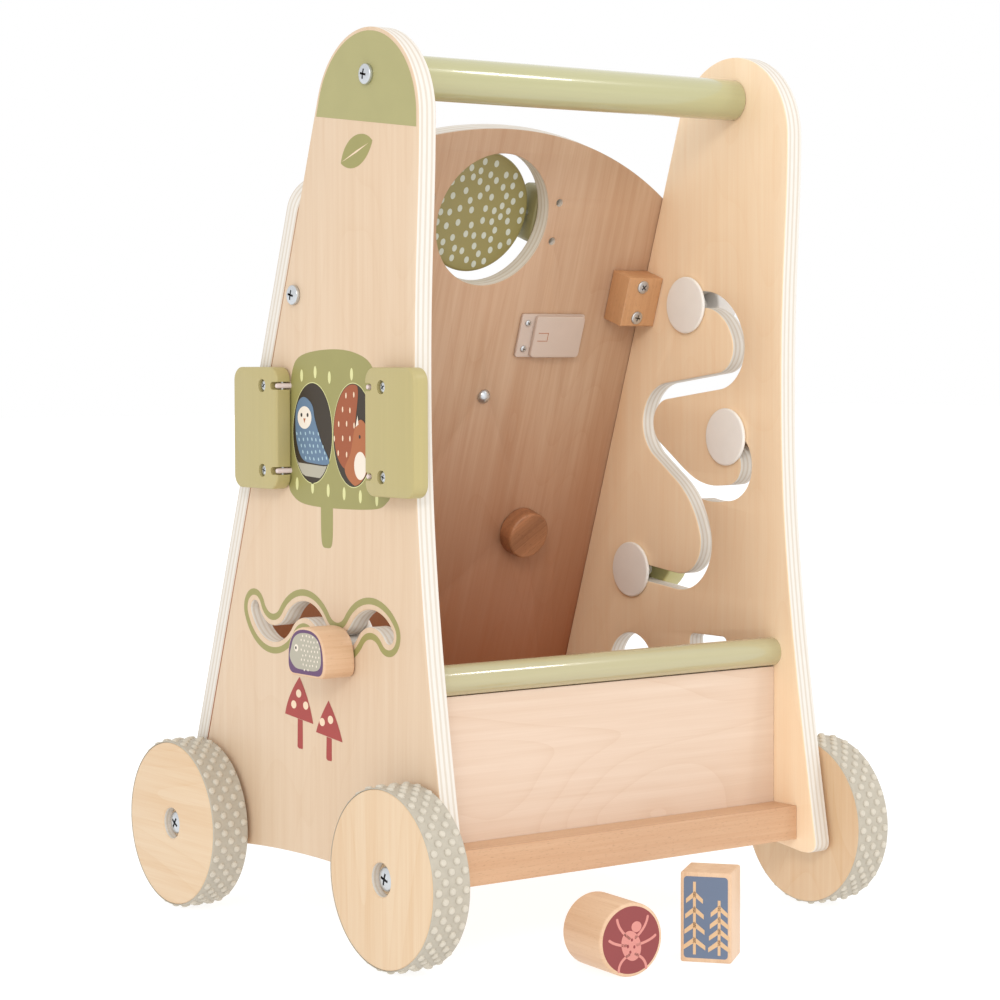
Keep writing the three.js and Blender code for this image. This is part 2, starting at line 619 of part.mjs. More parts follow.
// ---------------------------------------------------------------- cross pieces
function addHandleAndRail() {
  const handle = rod(HANDLE.radius, -insideX, insideX, 28);
  const deep = insideX - BOLT.handleGrip - 2;
  const bores = [[-insideX - 1, -deep], [deep, insideX + 1]].map(([from, to]) => {
    return rod(BOLT.radius + GAP, from, to);
  });
  place('handle_bar', sideways(cut(handle, bores), 0, HANDLE.y, HANDLE.z), oliveGreen);
  const railEnd = innerX + RAIL.seat - GAP;
  place('rear_rail', sideways(rod(RAIL.radius, -railEnd, railEnd, 24), 0, RAIL.y, RAIL.z), oliveGreen);
}

function addTray() {
  const { rearY, thickness, bottomZ } = LOW_PANEL;
  const lowPanelTop = RAIL.z - RAIL.radius - GAP;
  place('rear_low_panel', box(-insideX, insideX, rearY, rearY + thickness, bottomZ, lowPanelTop), plywood);
  const stripBack = STRIP.rearY + STRIP.size;
  const strip = box(-insideX, insideX, STRIP.rearY, stripBack, STRIP.topZ - STRIP.size, STRIP.topZ);
  place('bottom_strip', strip, beech);
  const floorRear = rearY + thickness + GAP;
  const floorTop = TRAY.bottomZ + TRAY.thickness;
  const floorFront = frontEdgeY(floorTop) - 0.5;
  place('tray_floor', box(-insideX, insideX, floorRear, floorFront, TRAY.bottomZ, floorTop), plywood);
}

// ---------------------------------------------------------------- bolts
// A button-head bolt along +Z: shank below z = 0, head above it, with a cross recess.
function buttonBolt(headRadius, shankRadius, length) {
  const height = headRadius * 0.55;
  const body = turned([
    [0, -length], [shankRadius, -length], [shankRadius, GAP], [headRadius, GAP],
    [headRadius, height / 2], [headRadius * 0.72, height], [0, height],
  ], 16);
  const [arm, half] = [headRadius * 0.55, headRadius * 0.13];
  const floor = height / 2;
  return cut(body, [
    box(-arm, arm, -half, half, floor, height + 1),
    box(-half, half, -arm, arm, floor, height + 1),
  ]);
}

function boltFacing(side, geometry, x, y, z) {
  return geometry.rotateY(side * Math.PI / 2).translate(side * x, y, z);
}

function addPanelBolts() {
  for (const [side, label] of [[-1, 'left'], [1, 'right']]) {
    const handleBolt = buttonBolt(BOLT.headRadius, BOLT.radius, PLY + BOLT.handleGrip);
    boltFacing(side, handleBolt, HALF_WIDTH, HANDLE.y, HANDLE.z);
    place(`handle_bolt_${label}`, handleBolt, zinc);
    const cornerBolt = buttonBolt(BOLT.headRadius, BOLT.radius, PLY + BOLT.blockGrip);
    boltFacing(side, cornerBolt, HALF_WIDTH, sideBolt.y, sideBolt.z);
    place(`side_bolt_${label}`, cornerBolt, zinc);
  }
}

// ---------------------------------------------------------------- wheels
function addWheels() {
  const bore = AXLE_RADIUS + GAP;
  const radius = TYRE_INNER_RADIUS - GAP;
  const recessFloor = WHEEL_WIDTH - HUB_RECESS_DEPTH;
  const discProfile = [
    [bore, GAP - WHEEL_TO_PANEL], [HUB_RADIUS, GAP - WHEEL_TO_PANEL], [HUB_RADIUS, 0],
    [radius, 0], [radius, WHEEL_WIDTH],
    [HUB_RECESS_RADIUS, WHEEL_WIDTH], [HUB_RECESS_RADIUS, recessFloor], [bore, recessFloor],
    [bore, GAP - WHEEL_TO_PANEL],
  ];
  const tyreEdge = 0.6;
  const tyreProfile = [
    [TYRE_INNER_RADIUS, 0], [TYRE_RADIUS - tyreEdge, 0], [TYRE_RADIUS, tyreEdge],
    [TYRE_RADIUS, WHEEL_WIDTH - tyreEdge], [TYRE_RADIUS - tyreEdge, WHEEL_WIDTH],
    [TYRE_INNER_RADIUS, WHEEL_WIDTH], [TYRE_INNER_RADIUS, 0],
  ];
  for (const [side, sideLabel] of [[-1, 'left'], [1, 'right']]) {
    for (const [end, endLabel] of [[1, 'front'], [-1, 'rear']]) {
      const label = `${endLabel}_${sideLabel}`;
      const y = end * AXLE_Y;
      const disc = turned(discProfile, WHEEL_SEGMENTS);
      const tyre = turned(tyreProfile, WHEEL_SEGMENTS);
      const bolt = buttonBolt(AXLE_HEAD_RADIUS, AXLE_RADIUS, recessFloor + WHEEL_TO_PANEL + AXLE_SEAT);
      place(`wheel_disc_${label}`, boltFacing(side, disc, wheelInnerX, y, TYRE_RADIUS), wheelPlywood);
      place(`tyre_${label}`, boltFacing(side, tyre, wheelInnerX, y, TYRE_RADIUS), rubber);
      boltFacing(side, bolt, wheelInnerX + recessFloor, y, TYRE_RADIUS);
      place(`axle_bolt_${label}`, bolt, zinc);
    }
  }
}

// ---------------------------------------------------------------- picture flaps
function flapAxisY(which) {
  const outwards = which === 'front' ? 1 : -1;
  return FLAP_EDGE_Y[which] + outwards * FLAP.hingeInset;
}

function flapPostHeights() {
  return [FLAP.centreZ + FLAP_POST.pitch / 2, FLAP.centreZ - FLAP_POST.pitch / 2];
}

function addFlap(which) {
  const outwards = which === 'front' ? 1 : -1;
  const edgeY = FLAP_EDGE_Y[which];
  const axisY = flapAxisY(which);
  const faceX = -HALF_WIDTH - FLAP.standOff - FLAP.thickness;
  const axisX = -HALF_WIDTH - FLAP.standOff - FLAP.thickness / 2;
  const middleY = edgeY + outwards * FLAP.width / 2;
  const outline = roundedRectangle(FLAP.width, FLAP.height, FLAP.corner);
  const board = sideways(extrude(outline, FLAP.thickness, 4), faceX, middleY, FLAP.centreZ);
  const tools = [];
  const notchEnds = [edgeY - outwards, edgeY + outwards * FLAP_POST.notchDepth];
  const [notchFrom, notchTo] = [Math.min(...notchEnds), Math.max(...notchEnds)];
  const screwY = edgeY + outwards * FLAP_SCREW.inset;
  for (const z of flapPostHeights()) {
    const half = FLAP_POST.notchHeight / 2;
    tools.push(box(faceX - 1, faceX + FLAP.thickness + 1, notchFrom, notchTo, z - half, z + half));
    tools.push(sideways(rod(FLAP_SCREW.radius, -1, FLAP_SCREW.depth, 16), faceX, screwY, z));
  }
  const { radius, pinRadius, tip, seat, notchHeight } = FLAP_POST;
  const pinHalf = FLAP_POST.pitch / 2 + FLAP_POST.pinTail;
  const pinHole = rod(pinRadius + GAP, -pinHalf - GAP, pinHalf + GAP, 10);
  tools.push(pinHole.translate(axisX, axisY, FLAP.centreZ));
  place(`flap_${which}`, cut(board, tools), greenPaint);
  const pin = rod(pinRadius, -pinHalf, pinHalf, 10).translate(axisX, axisY, FLAP.centreZ);
  place(`flap_hinge_pin_${which}`, pin, zinc);
  flapPostHeights().forEach((z, i) => {
    const tipX = axisX - tip;
    const post = sideways(rod(radius, 0, seat - HALF_WIDTH - tipX, 16), tipX, axisY, z);
    const eye = rod(pinRadius + GAP, -notchHeight, notchHeight, 10).translate(axisX, axisY, z);
    place(`flap_hinge_post_${which}_${i + 1}`, cut(post, [eye]), zinc);
  });
}

// ---------------------------------------------------------------- slot sliders
function leafShape(length, width) {
  const shape = new THREE.Shape();
  shape.moveTo(-length / 2, 0);
  shape.bezierCurveTo(-length / 4, -width * 0.66, length / 4, -width * 0.66, length / 2, 0);
  shape.bezierCurveTo(length / 4, width * 0.66, -length / 4, width * 0.66, -length / 2, 0);
  return shape;
}

function addSlotSliders() {
  const { discRadius, discThickness, shaftRadius, socket, clear, figure } = SLIDER;
  const figures = [[circle(15), beech], [circle(15), beech], [leafShape(44, 30), oliveGreen]];
  SLIDER_HOMES.forEach(({ y, z }, i) => {
    const discX = innerX - clear - discThickness;
    const shaftEnd = discThickness + clear + PLY + clear + socket;
    const spool = turned([
      [0, 0], [discRadius - 0.8, 0], [discRadius, 0.8], [discRadius, discThickness],
      [shaftRadius, discThickness], [shaftRadius, shaftEnd], [0, shaftEnd],
    ]);
    place(`slider_spool_${i + 1}`, sideways(spool, discX, y, z), frosted);
    const [shape, material] = figures[i];
    const body = extrude(shape, figure, 12);
    const hole = rod(shaftRadius + GAP, -1, socket + GAP);
    place(`slider_figure_${i + 1}`, sideways(cut(body, [hole]), HALF_WIDTH + clear, y, z), material);
  });
}

function waveKnobShape() {
  const { width, height } = WAVE_KNOB;
  const [x, y] = [width / 2, height / 2];
  const shape = new THREE.Shape();
  shape.moveTo(-x + 6, -y);
  shape.lineTo(x - 6, -y);
  shape.quadraticCurveTo(x, -y, x, -y + 7);
  shape.bezierCurveTo(x, y * 0.75, x * 0.55, y, 0, y);
  shape.bezierCurveTo(-x * 0.55, y, -x, y * 0.75, -x, -y + 7);
  shape.quadraticCurveTo(-x, -y, -x + 6, -y);
  return shape;
}

function addWaveSlider() {
  const { discRadius, discThickness, socket, clear } = SLIDER;
  const { length, shaftRadius, drop } = WAVE_KNOB;
  const [y, z] = [WAVE.dipY, WAVE.dipZ];
  const shaftLength = discThickness + clear + PLY + clear + socket;
  const spool = turned([
    [0, 0], [discRadius - 0.8, 0], [discRadius, 0.8], [discRadius, discThickness],
    [shaftRadius, discThickness], [shaftRadius, shaftLength], [0, shaftLength],
  ]).rotateZ(Math.PI);
  const spoolX = -innerX + clear + discThickness;
  place('wave_spool', boltFacing(-1, spool, -spoolX, y, z), frosted);
  const knobX = -HALF_WIDTH - clear - length;
  const body = extrude(waveKnobShape(), length, 8);
  const hole = rod(shaftRadius + GAP, length - socket - GAP, length + 1).translate(0, drop, 0);
  place('wave_knob', sideways(cut(body, [hole]), knobX, y, z - drop), beech);
}

// ---------------------------------------------------------------- loose sorter blocks
function addBlocks() {
  const { x, y, radius, length, edge, turnDeg } = ROUND_BLOCK;
  const half = length / 2;
  const barrel = turned([
    [0, -half], [radius - edge, -half], [radius, -half + edge],
    [radius, half - edge], [radius - edge, half], [0, half],
  ], 32);
  barrel.rotateX(-Math.PI / 2).rotateZ(turnDeg * DEG).translate(x, y, radius);
  place('round_block', barrel, beech);
  const { width, height, edge: squareEdge } = SQUARE_BLOCK;
  const square = extrude(roundedRectangle(width, width, squareEdge), height, 2);
  square.rotateZ(squareTurn).translate(SQUARE_BLOCK.x, SQUARE_BLOCK.y, 0);
  place('square_block', square, beech);
}

addSidePanels();
addFrontPanel();
addCornerBlocks();
addClicker();
addFlipDisc();
addGears();
addHandleAndRail();
addTray();
addPanelBolts();
addWheels();
addFlap('front');
addFlap('rear');
addSlotSliders();
addWaveSlider();
addBlocks();

export default walker;
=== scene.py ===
"""Looks of the wooden baby walker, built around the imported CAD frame.

+Z is up, +Y the direction of travel and +X the child's right. Sizes and arguments in this file are in
millimetres, measured from a point midway between the axles; Blender itself works in metres.
"""

import math
import random

import bmesh
import bpy
from mathutils import Matrix, Vector


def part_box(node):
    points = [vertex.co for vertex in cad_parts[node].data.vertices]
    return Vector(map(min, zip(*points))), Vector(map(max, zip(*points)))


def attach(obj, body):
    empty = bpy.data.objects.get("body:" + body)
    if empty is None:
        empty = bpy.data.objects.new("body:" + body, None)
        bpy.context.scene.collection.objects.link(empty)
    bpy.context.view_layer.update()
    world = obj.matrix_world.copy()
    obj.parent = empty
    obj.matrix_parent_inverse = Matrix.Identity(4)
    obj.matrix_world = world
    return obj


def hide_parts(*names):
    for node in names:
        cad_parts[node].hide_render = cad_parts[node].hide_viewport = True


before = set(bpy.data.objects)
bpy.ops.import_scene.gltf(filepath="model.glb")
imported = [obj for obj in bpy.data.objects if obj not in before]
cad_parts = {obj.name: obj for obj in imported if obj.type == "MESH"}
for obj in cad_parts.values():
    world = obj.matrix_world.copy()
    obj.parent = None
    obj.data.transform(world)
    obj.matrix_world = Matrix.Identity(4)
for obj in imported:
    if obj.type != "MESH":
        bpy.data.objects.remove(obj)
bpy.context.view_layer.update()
random.seed(11)

MM = 0.001
ROOT = "frame"


def middle(node):
    low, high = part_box(node)
    return (low + high) / 2


def size(node):
    low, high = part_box(node)
    return (high - low) / MM


def side_view(node):
    """The y and z of a node's middle in millimetres from the axles' midpoint."""
    centre = middle(node)
    return ((centre.y - SHIFT_Y) / MM, centre.z / MM)


# ---------------------------------------------------------------- driving dimensions, as in the CAD
SHIFT_Y = (middle("axle_bolt_front_left").y + middle("axle_bolt_rear_left").y) / 2
GAP = 0.3
PLY = size("left_side_panel").x
HALF_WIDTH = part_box("right_side_panel")[1].x / MM
INNER_X = HALF_WIDTH - PLY
LEAN = 18.4
FRONT_FOOT_Y = 148.8
SINE, COSINE, TANGENT = (f(math.radians(LEAN)) for f in (math.sin, math.cos, math.tan))

AXLE_Y, AXLE_Z = side_view("axle_bolt_front_left")
TYRE_RADIUS = 52.0
TYRE_BAND_RADIUS = 50.5
RIM_RADIUS = 49.85
WHEEL_WIDTH = 24.5
WHEEL_X = HALF_WIDTH + 2.4
HUB_RECESS = {"radius": 9.5, "depth": 6.0}

TOP_ARC = (-63.0, 472.0, 52.0)
REAR_WAIST = (-110.0, 325.0)
REAR_FOOT = (-141.5, 44.0)
FOOT_Z = 36.0
ARCH_HALF_SPAN = 128.0
ARCH_TOP_Z = 45.5

FRONT = {"bottom": 49.0, "apex": 503.0, "arc": 242.0, "corner": 20.0}
FLIP_HOLE = {"s": 445.5, "radius": 42.0}
FLIP_DISC = {"radius": 38.5, "thickness": 9.0, "offset": 21.5}
BRACKET = {"inner_x": 40.5, "outer_x": 57.0, "height": 36.0, "thickness": 17.0}
BRACKET_SCREWS = {"x": 49.0, "pitch": 25.0}
UPPER_GEAR = (19.0, 330.5)
LOWER_GEAR = (69.2, 237.8)
GEARS = {"clear": 1.5, "thickness": 12.0, "cap": 4.0}
GEAR_BOLT = {"shaft_radius": 3.0, "head_radius": 4.6, "head_height": 3.0, "cap_radius": 9.0, "cap_slope": 3.0}
TURN_KNOB = {"radius": 15.5, "length": 12.0, "corner": 1.6, "clear": 0.6,
             "shaft_radius": 5.0, "cap_radius": 10.0, "cap_slope": 2.0}
CLICKER = {"x": 61.0, "s": 371.5, "width": 50.0, "height": 28.5, "thickness": 5.0, "flange": 10.0}
CORNER_BLOCK = {"inner_x": 103.0, "s": 399.3, "height": 32.5, "depth": 18.0}
CORNER_SCREWS = {"x": 115.0, "pitch": 20.5}

FLAP = {"width": 48.0, "height": 72.0, "thickness": 10.0, "z": 297.0, "corner": 8.0, "stand_off": 0.6}
FLAP_EDGES = {"front": 15.5, "rear": -76.5}
FLAP_POSTS = (322.0, 272.0)
FLAP_NOTCH = (13.8, 4.6, 2.2)
FLAP_SCREWS = {"inset": 16.2, "recess": 3.9, "depth": 4.5, "sunk": 2.8}
HINGE_POST = {"radius": 1.6, "depth": 5.5, "past_pin": 4.6}
SLOT_WIDTH = 10.2
ENTRY_BEND = (-37.4, 340.5, 34.0, 1)
TOP_BEND = (-49.6, 344.2, 21.4, 1)
MIDDLE_BEND = (-4.0, 295.8, 20.7, -1)
DIAGONAL_BEND = (25.5, 208.7, 67.8, 1)
LOWER_BEND = (-14.5, 220.4, 26.1, 1)
SIDE_LOOP = (-61.0, 270.6, 17.6, 1)
LOOP_EXIT = (-49.3, 306.0, 54.0, 1)
LOOP_JOINS_AT = (-13.5, 264.5)
WAVE_SLOT_WIDTH = 9.7
WAVE = {"dip_y": -31.5, "dip_z": 173.8, "half_pitch": 34.8, "height": 16.9}
WAVE_ENDS = {"front": 67.8, "rear": 51.9}
WAVE_KNOB = {"width": 39.0, "height": 28.5, "length": 21.0, "drop": 3.8}
ROUND_SORTER = (34.0, 135.4, 22.0)
SQUARE_SORTER = (-42.5, 135.0, 35.0, 54.0, 4.0)
SLIDER = {"disc_radius": 18.0, "disc": 2.5, "shaft_radius": 4.3, "clear": 0.6, "socket": 8.0, "figure": 16.0}
WAVE_SHAFT_RADIUS = 4.0
SLIDER_HOMES = ((-22.76, 371.19), (-61.0, 288.2), (31.8, 199.4))
PRINT = {"lift": 0.02, "film": 0.06, "layer": 0.07}
SIDES = ((-1, "left"), (1, "right"))
ENDS = ((1, "front"), (-1, "rear"))
ROUND_BLOCK = {"x": -63.7, "y": -185.0, "radius": 20.5, "length": 38.0, "turn": -6.0}
SQUARE_BLOCK = {"x": 1.0, "y": -193.5, "width": 29.0, "height": 51.0, "turn": -52.0}


# ---------------------------------------------------------------- outlines
def arc(centre, radius, start, end, steps=24):
    """Points along a circle between two angles in degrees."""
    angles = [math.radians(start + (end - start) * k / steps) for k in range(steps + 1)]
    return [(centre[0] + radius * math.cos(a), centre[1] + radius * math.sin(a)) for a in angles]


def oval(centre, width, height=None, steps=48, turn=0.0):
    """A closed ellipse from its half sizes, turned by an angle in degrees."""
    cosine, sine = math.cos(math.radians(turn)), math.sin(math.radians(turn))
    points = []
    for k in range(steps):
        angle = 2 * math.pi * k / steps
        u, v = width * math.cos(angle), (height or width) * math.sin(angle)
        points.append((centre[0] + u * cosine - v * sine, centre[1] + u * sine + v * cosine))
    return points


def bezier(*controls, steps=20):
    """Points along a Bezier curve of any order."""
    points = []
    for k in range(steps + 1):
        row = [Vector(c) for c in controls]
        while len(row) > 1:
            row = [a.lerp(b, k / steps) for a, b in zip(row, row[1:])]
        points.append(tuple(row[0]))
    return points


def rectangle(x0, x1, y0, y1):
    return [(x0, y0), (x1, y0), (x1, y1), (x0, y1)]


def rounded_rectangle(centre, width, height, corner, steps=8):
    x, y = width / 2 - corner, height / 2 - corner
    points = []
    for k, (sx, sy) in enumerate([(1, 1), (-1, 1), (-1, -1), (1, -1)]):
        points += arc((centre[0] + sx * x, centre[1] + sy * y), corner, 90 * k, 90 * (k + 1), steps)
    return points


def smooth_loop(knots, steps=6):
    """A closed Catmull-Rom curve through the knots."""
    count, points = len(knots), []
    for i in range(count):
        before, start, end, after = (Vector(knots[(i + k) % count]) for k in (-1, 0, 1, 2))
        for k in range(steps):
            t = k / steps
            points.append(tuple(0.5 * (
                2 * start + (end - before) * t + (2 * before - 5 * start + 4 * end - after) * t ** 2
                + (3 * start - before - 3 * end + after) * t ** 3)))
    return points


def contains(outline, point):
    """Whether a point lies inside a closed outline."""
    inside = False
    for (x0, y0), (x1, y1) in zip(outline, outline[1:] + outline[:1]):
        if (y0 > point[1]) != (y1 > point[1]):
            inside ^= point[0] < x0 + (x1 - x0) * (point[1] - y0) / (y1 - y0)
    return inside


def sprinkle(outline, pitch_x, pitch_y, jitter=0.0):
    """Staggered points that fill an outline."""
    xs, ys = [p[0] for p in outline], [p[1] for p in outline]
    points, row, y = [], 0, min(ys)
    while y < max(ys):
        x = min(xs) + (row % 2) * pitch_x / 2
        while x < max(xs):
            point = (x + random.uniform(-jitter, jitter), y + random.uniform(-jitter, jitter))
            if contains(outline, point):
                points.append(point)
            x += pitch_x
        row, y = row + 1, y + pitch_y
    return points


def route_points(route, step=4.0):
    """Points along straight runs joined by bends.

    A bend is (y, z, radius, turn), with a turn of 1 anticlockwise and -1 clockwise.
    """
    headings = []
    for (y0, z0, r0, t0), (y1, z1, r1, t1) in zip(route, route[1:]):
        offset = (t1 * r1 - t0 * r0) / math.hypot(y1 - y0, z1 - z0)
        headings.append(math.atan2(z1 - z0, y1 - y0) - math.asin(max(-1.0, min(1.0, offset))))
    points = [route[0][:2]]
    for (y, z, radius, turn), start, end in zip(route[1:-1], headings, headings[1:]):
        sweep = end - start
        while sweep * turn < 0:
            sweep += turn * 2 * math.pi
        while abs(sweep) > 2 * math.pi:
            sweep -= turn * 2 * math.pi
        count = math.ceil(abs(math.degrees(sweep)) / step)
        for k in range(count + 1):
            heading = start + sweep * k / count
            points.append((y + turn * radius * math.sin(heading), z - turn * radius * math.cos(heading)))
    points.append(route[-1][:2])
    return [p for i, p in enumerate(points) if i == 0 or math.dist(p, points[i - 1]) > 0.05]


def slot_outline(points, width, steps=12):
    """The closed outline of a slot with round ends along the points."""
    half = width / 2

    def heading(a, b):
        return math.atan2(b[1] - a[1], b[0] - a[0])

    def at(point, angle):
        return (point[0] + half * math.cos(angle), point[1] + half * math.sin(angle))

    sides = []
    for side in (1, -1):
        row = []
        for i, point in enumerate(points):
            ahead = heading(points[max(i - 1, 0)], points[min(i + 1, len(points) - 1)])
            row.append(at(point, ahead + side * math.pi / 2))
        sides.append(row)

    def cap(point, angle):
        return [at(point, angle - math.pi * k / steps) for k in range(1, steps)]

    end_cap = cap(points[-1], heading(points[-2], points[-1]) + math.pi / 2)
    start_cap = cap(points[0], heading(points[0], points[1]) - math.pi / 2)
    return sides[0] + end_cap + sides[1][::-1] + start_cap


def wave_points(step=6.0):
    """The centre line of the wave slot: arcs that turn up and down in turn."""
    half, height = WAVE["half_pitch"], WAVE["height"]
    radius = (half ** 2 + height ** 2) / (4 * height)
    reach = math.degrees(math.asin(half / 2 / radius))
    front_dip = WAVE["dip_y"] + 2 * half
    ends = [(WAVE_ENDS["front"], -reach), (reach, -reach), (reach, -reach), (reach, -WAVE_ENDS["rear"])]
    points = []
    for k, (start, end) in enumerate(ends):
        up = 1 if k % 2 else -1
        z = WAVE["dip_z"] + (height - radius if k % 2 else radius)
        count = math.ceil(abs(end - start) / step)
        for i in range(1 if points else 0, count + 1):
            angle = math.radians(start + (end - start) * i / count)
            y = front_dip - k * half + radius * math.sin(angle)
            points.append((y, z + up * radius * math.cos(angle)))
    return points


# ---------------------------------------------------------------- placing
def axes(x_axis, y_axis, origin):
    x_axis, y_axis = Vector(x_axis), Vector(y_axis)
    matrix = Matrix((x_axis, y_axis, x_axis.cross(y_axis))).transposed().to_4x4()
    matrix.translation = origin
    return matrix


def side_place(x, y=0.0, z=0.0):
    """Local x runs forwards, y up and z to the child's right."""
    return axes((0, 1, 0), (0, 0, 1), (x * MM, SHIFT_Y + y * MM, z * MM))


def front_place(x=0.0, s=0.0, out=0.0):
    """Local x runs across, y up the slope of the front panel and z out of its back, towards the child."""
    foot = (0, SHIFT_Y + (FRONT_FOOT_Y + GAP) * MM, 0)
    return axes((1, 0, 0), (0, -SINE, COSINE), foot) @ Matrix.Translation(Vector((x, s, out)) * MM)


def facing(side, x, y, z):
    """Local z points out of the left (-1) or right (1) side."""
    place = Matrix.Translation((side * x * MM, SHIFT_Y + y * MM, z * MM))
    return place @ Matrix.Rotation(side * math.pi / 2, 4, "Y")


# ---------------------------------------------------------------- meshes
def close_mesh(bm, name):
    """Welds a bmesh given in millimetres and turns it into a mesh in metres with crisp corners."""
    bmesh.ops.remove_doubles(bm, verts=bm.verts, dist=0.0005)
    bmesh.ops.recalc_face_normals(bm, faces=bm.faces)
    bmesh.ops.scale(bm, vec=(MM, MM, MM), verts=bm.verts)
    mesh = bpy.data.meshes.new(name)
    bm.to_mesh(mesh)
    bm.free()
    mesh.shade_smooth()
    mesh.set_sharp_from_angle(angle=math.radians(32))
    return mesh


def plate_mesh(name, outlines, low, high, bevel=0.0):
    """A plate between two heights; later outlines are holes. The bevel rounds the rims."""
    curve = bpy.data.curves.new(name, "CURVE")
    curve.dimensions = "2D"
    curve.fill_mode = "BOTH"
    curve.extrude = (high - low) / 2 - bevel
    curve.bevel_depth = bevel
    curve.bevel_resolution = 2
    curve.offset = -bevel
    for outline in outlines:
        spline = curve.splines.new("POLY")
        spline.points.add(len(outline) - 1)
        for target, (x, y) in zip(spline.points, outline):
            target.co = (x, y, 0, 1)
        spline.use_cyclic_u = True
    holder = bpy.data.objects.new(name, curve)
    bpy.context.scene.collection.objects.link(holder)
    bpy.context.view_layer.update()
    raw = bpy.data.meshes.new_from_object(holder.evaluated_get(bpy.context.evaluated_depsgraph_get()))
    bpy.data.objects.remove(holder)
    bpy.data.curves.remove(curve)
    bm = bmesh.new()
    bm.from_mesh(raw)
    bpy.data.meshes.remove(raw)
    bmesh.ops.translate(bm, vec=(0, 0, (low + high) / 2), verts=bm.verts)
    return close_mesh(bm, name)


def turn_into(bm, profile, segments, place=None):
    """Adds a body turned about local Z from (radius, height) corners."""
    place = place or Matrix.Identity(4)
    rings = []
    for radius, height in profile:
        count = 1 if radius == 0 else segments
        angles = [2 * math.pi * k / segments for k in range(count)]
        circle = [(radius * math.cos(a), radius * math.sin(a), height) for a in angles]
        rings.append([bm.verts.new(place @ Vector(point)) for point in circle])
    for low, high in zip(rings, rings[1:]):
        for k in range(segments):
            corners = []
            for ring, step in ((low, k), (low, k + 1), (high, k + 1), (high, k)):
                vert = ring[step % len(ring)]
                if vert not in corners:
                    corners.append(vert)
            if len(corners) > 2:
                bm.faces.new(corners)


def turned_mesh(name, profile, segments=64):
    bm = bmesh.new()
    turn_into(bm, profile, segments)
    return close_mesh(bm, name)


def rod_profile(radius, low, high, round_edge):
    """A rod's profile with rounded rims."""
    inner = radius - round_edge
    lower = arc((inner, low + round_edge), round_edge, -90, 0, 5)
    upper = arc((inner, high - round_edge), round_edge, 0, 90, 5)
    return [(0, low), *lower, *upper, (0, high)]


def cut_mesh(mesh, cutters):
    """Subtracts the cutter meshes from a mesh."""
    body = bpy.data.objects.new("body", mesh)
    bpy.context.scene.collection.objects.link(body)
    tools = []
    for cutter in cutters:
        tool = bpy.data.objects.new("tool", cutter)
        bpy.context.scene.collection.objects.link(tool)
        modifier = body.modifiers.new("cut", "BOOLEAN")
        modifier.object = tool
        modifier.operation = "DIFFERENCE"
        modifier.solver = "EXACT"
        tools.append(tool)
    bpy.context.view_layer.update()
    result = bpy.data.meshes.new_from_object(body.evaluated_get(bpy.context.evaluated_depsgraph_get()))
    for holder in [body, *tools]:
        bpy.data.objects.remove(holder)
    result.name = mesh.name
    result.shade_smooth()
    result.set_sharp_from_angle(angle=math.radians(32))
    return result


# ---------------------------------------------------------------- materials
def colour(red, green, blue):
    """A display colour in 0-255 as a linear RGBA value."""
    shares = [c / 255 for c in (red, green, blue)]
    return (*(((c + 0.055) / 1.055) ** 2.4 if c > 0.04 else c / 12.92 for c in shares), 1.0)


def shaded(tone, share):
    """A linear colour made darker."""
    return (*(share * c for c in tone[:3]), 1.0)


class Shader:
    """A new material with short calls for adding and linking nodes."""

    def __init__(self, name, **inputs):
        self.material = bpy.data.materials.new(name)
        self.material.use_nodes = True
        self.tree = self.material.node_tree
        self.surface = self.tree.nodes["Principled BSDF"]
        for key, value in inputs.items():
            self.feed(self.surface, key.replace("_", " "), value)
        self.place = self.node("TexCoord").outputs["Object"]

    def feed_socket(self, socket, value):
        if isinstance(value, bpy.types.NodeSocket):
            self.tree.links.new(value, socket)
        else:
            socket.default_value = value

    def feed(self, node, key, value):
        self.feed_socket(node.inputs[key], value)

    def node(self, kind, inputs=None, **settings):
        made = self.tree.nodes.new("ShaderNode" + kind)
        for key, value in settings.items():
            setattr(made, key, value)
        for key, value in (inputs or {}).items():
            self.feed(made, key, value)
        return made

    def maths(self, operation, first, second=0.0, third=0.0):
        made = self.node("Math", {0: first, 1: second, 2: third}, operation=operation)
        return made.outputs[0]

    def noise(self, scale, detail=3.0, distortion=0.0):
        """Noise whose scale, in cells per metre, differs along the three axes."""
        mapped = self.node("Mapping", {"Vector": self.place, "Scale": scale}).outputs[0]
        inputs = {"Vector": mapped, "Scale": 1.0, "Detail": detail, "Distortion": distortion}
        return self.node("TexNoise", inputs).outputs[0]

    def mix(self, factor, first, second):
        made = self.node("Mix", data_type="RGBA")
        for key, value in {"Factor": factor, "A": first, "B": second}.items():
            sockets = [s for s in made.inputs if s.name == key and s.enabled]
            self.feed_socket(sockets[0], value)
        return [s for s in made.outputs if s.enabled][0]

    def bump(self, height, strength, distance):
        inputs = {"Height": height, "Strength": strength, "Distance": distance}
        self.feed(self.surface, "Normal", self.node("Bump", inputs).outputs[0])


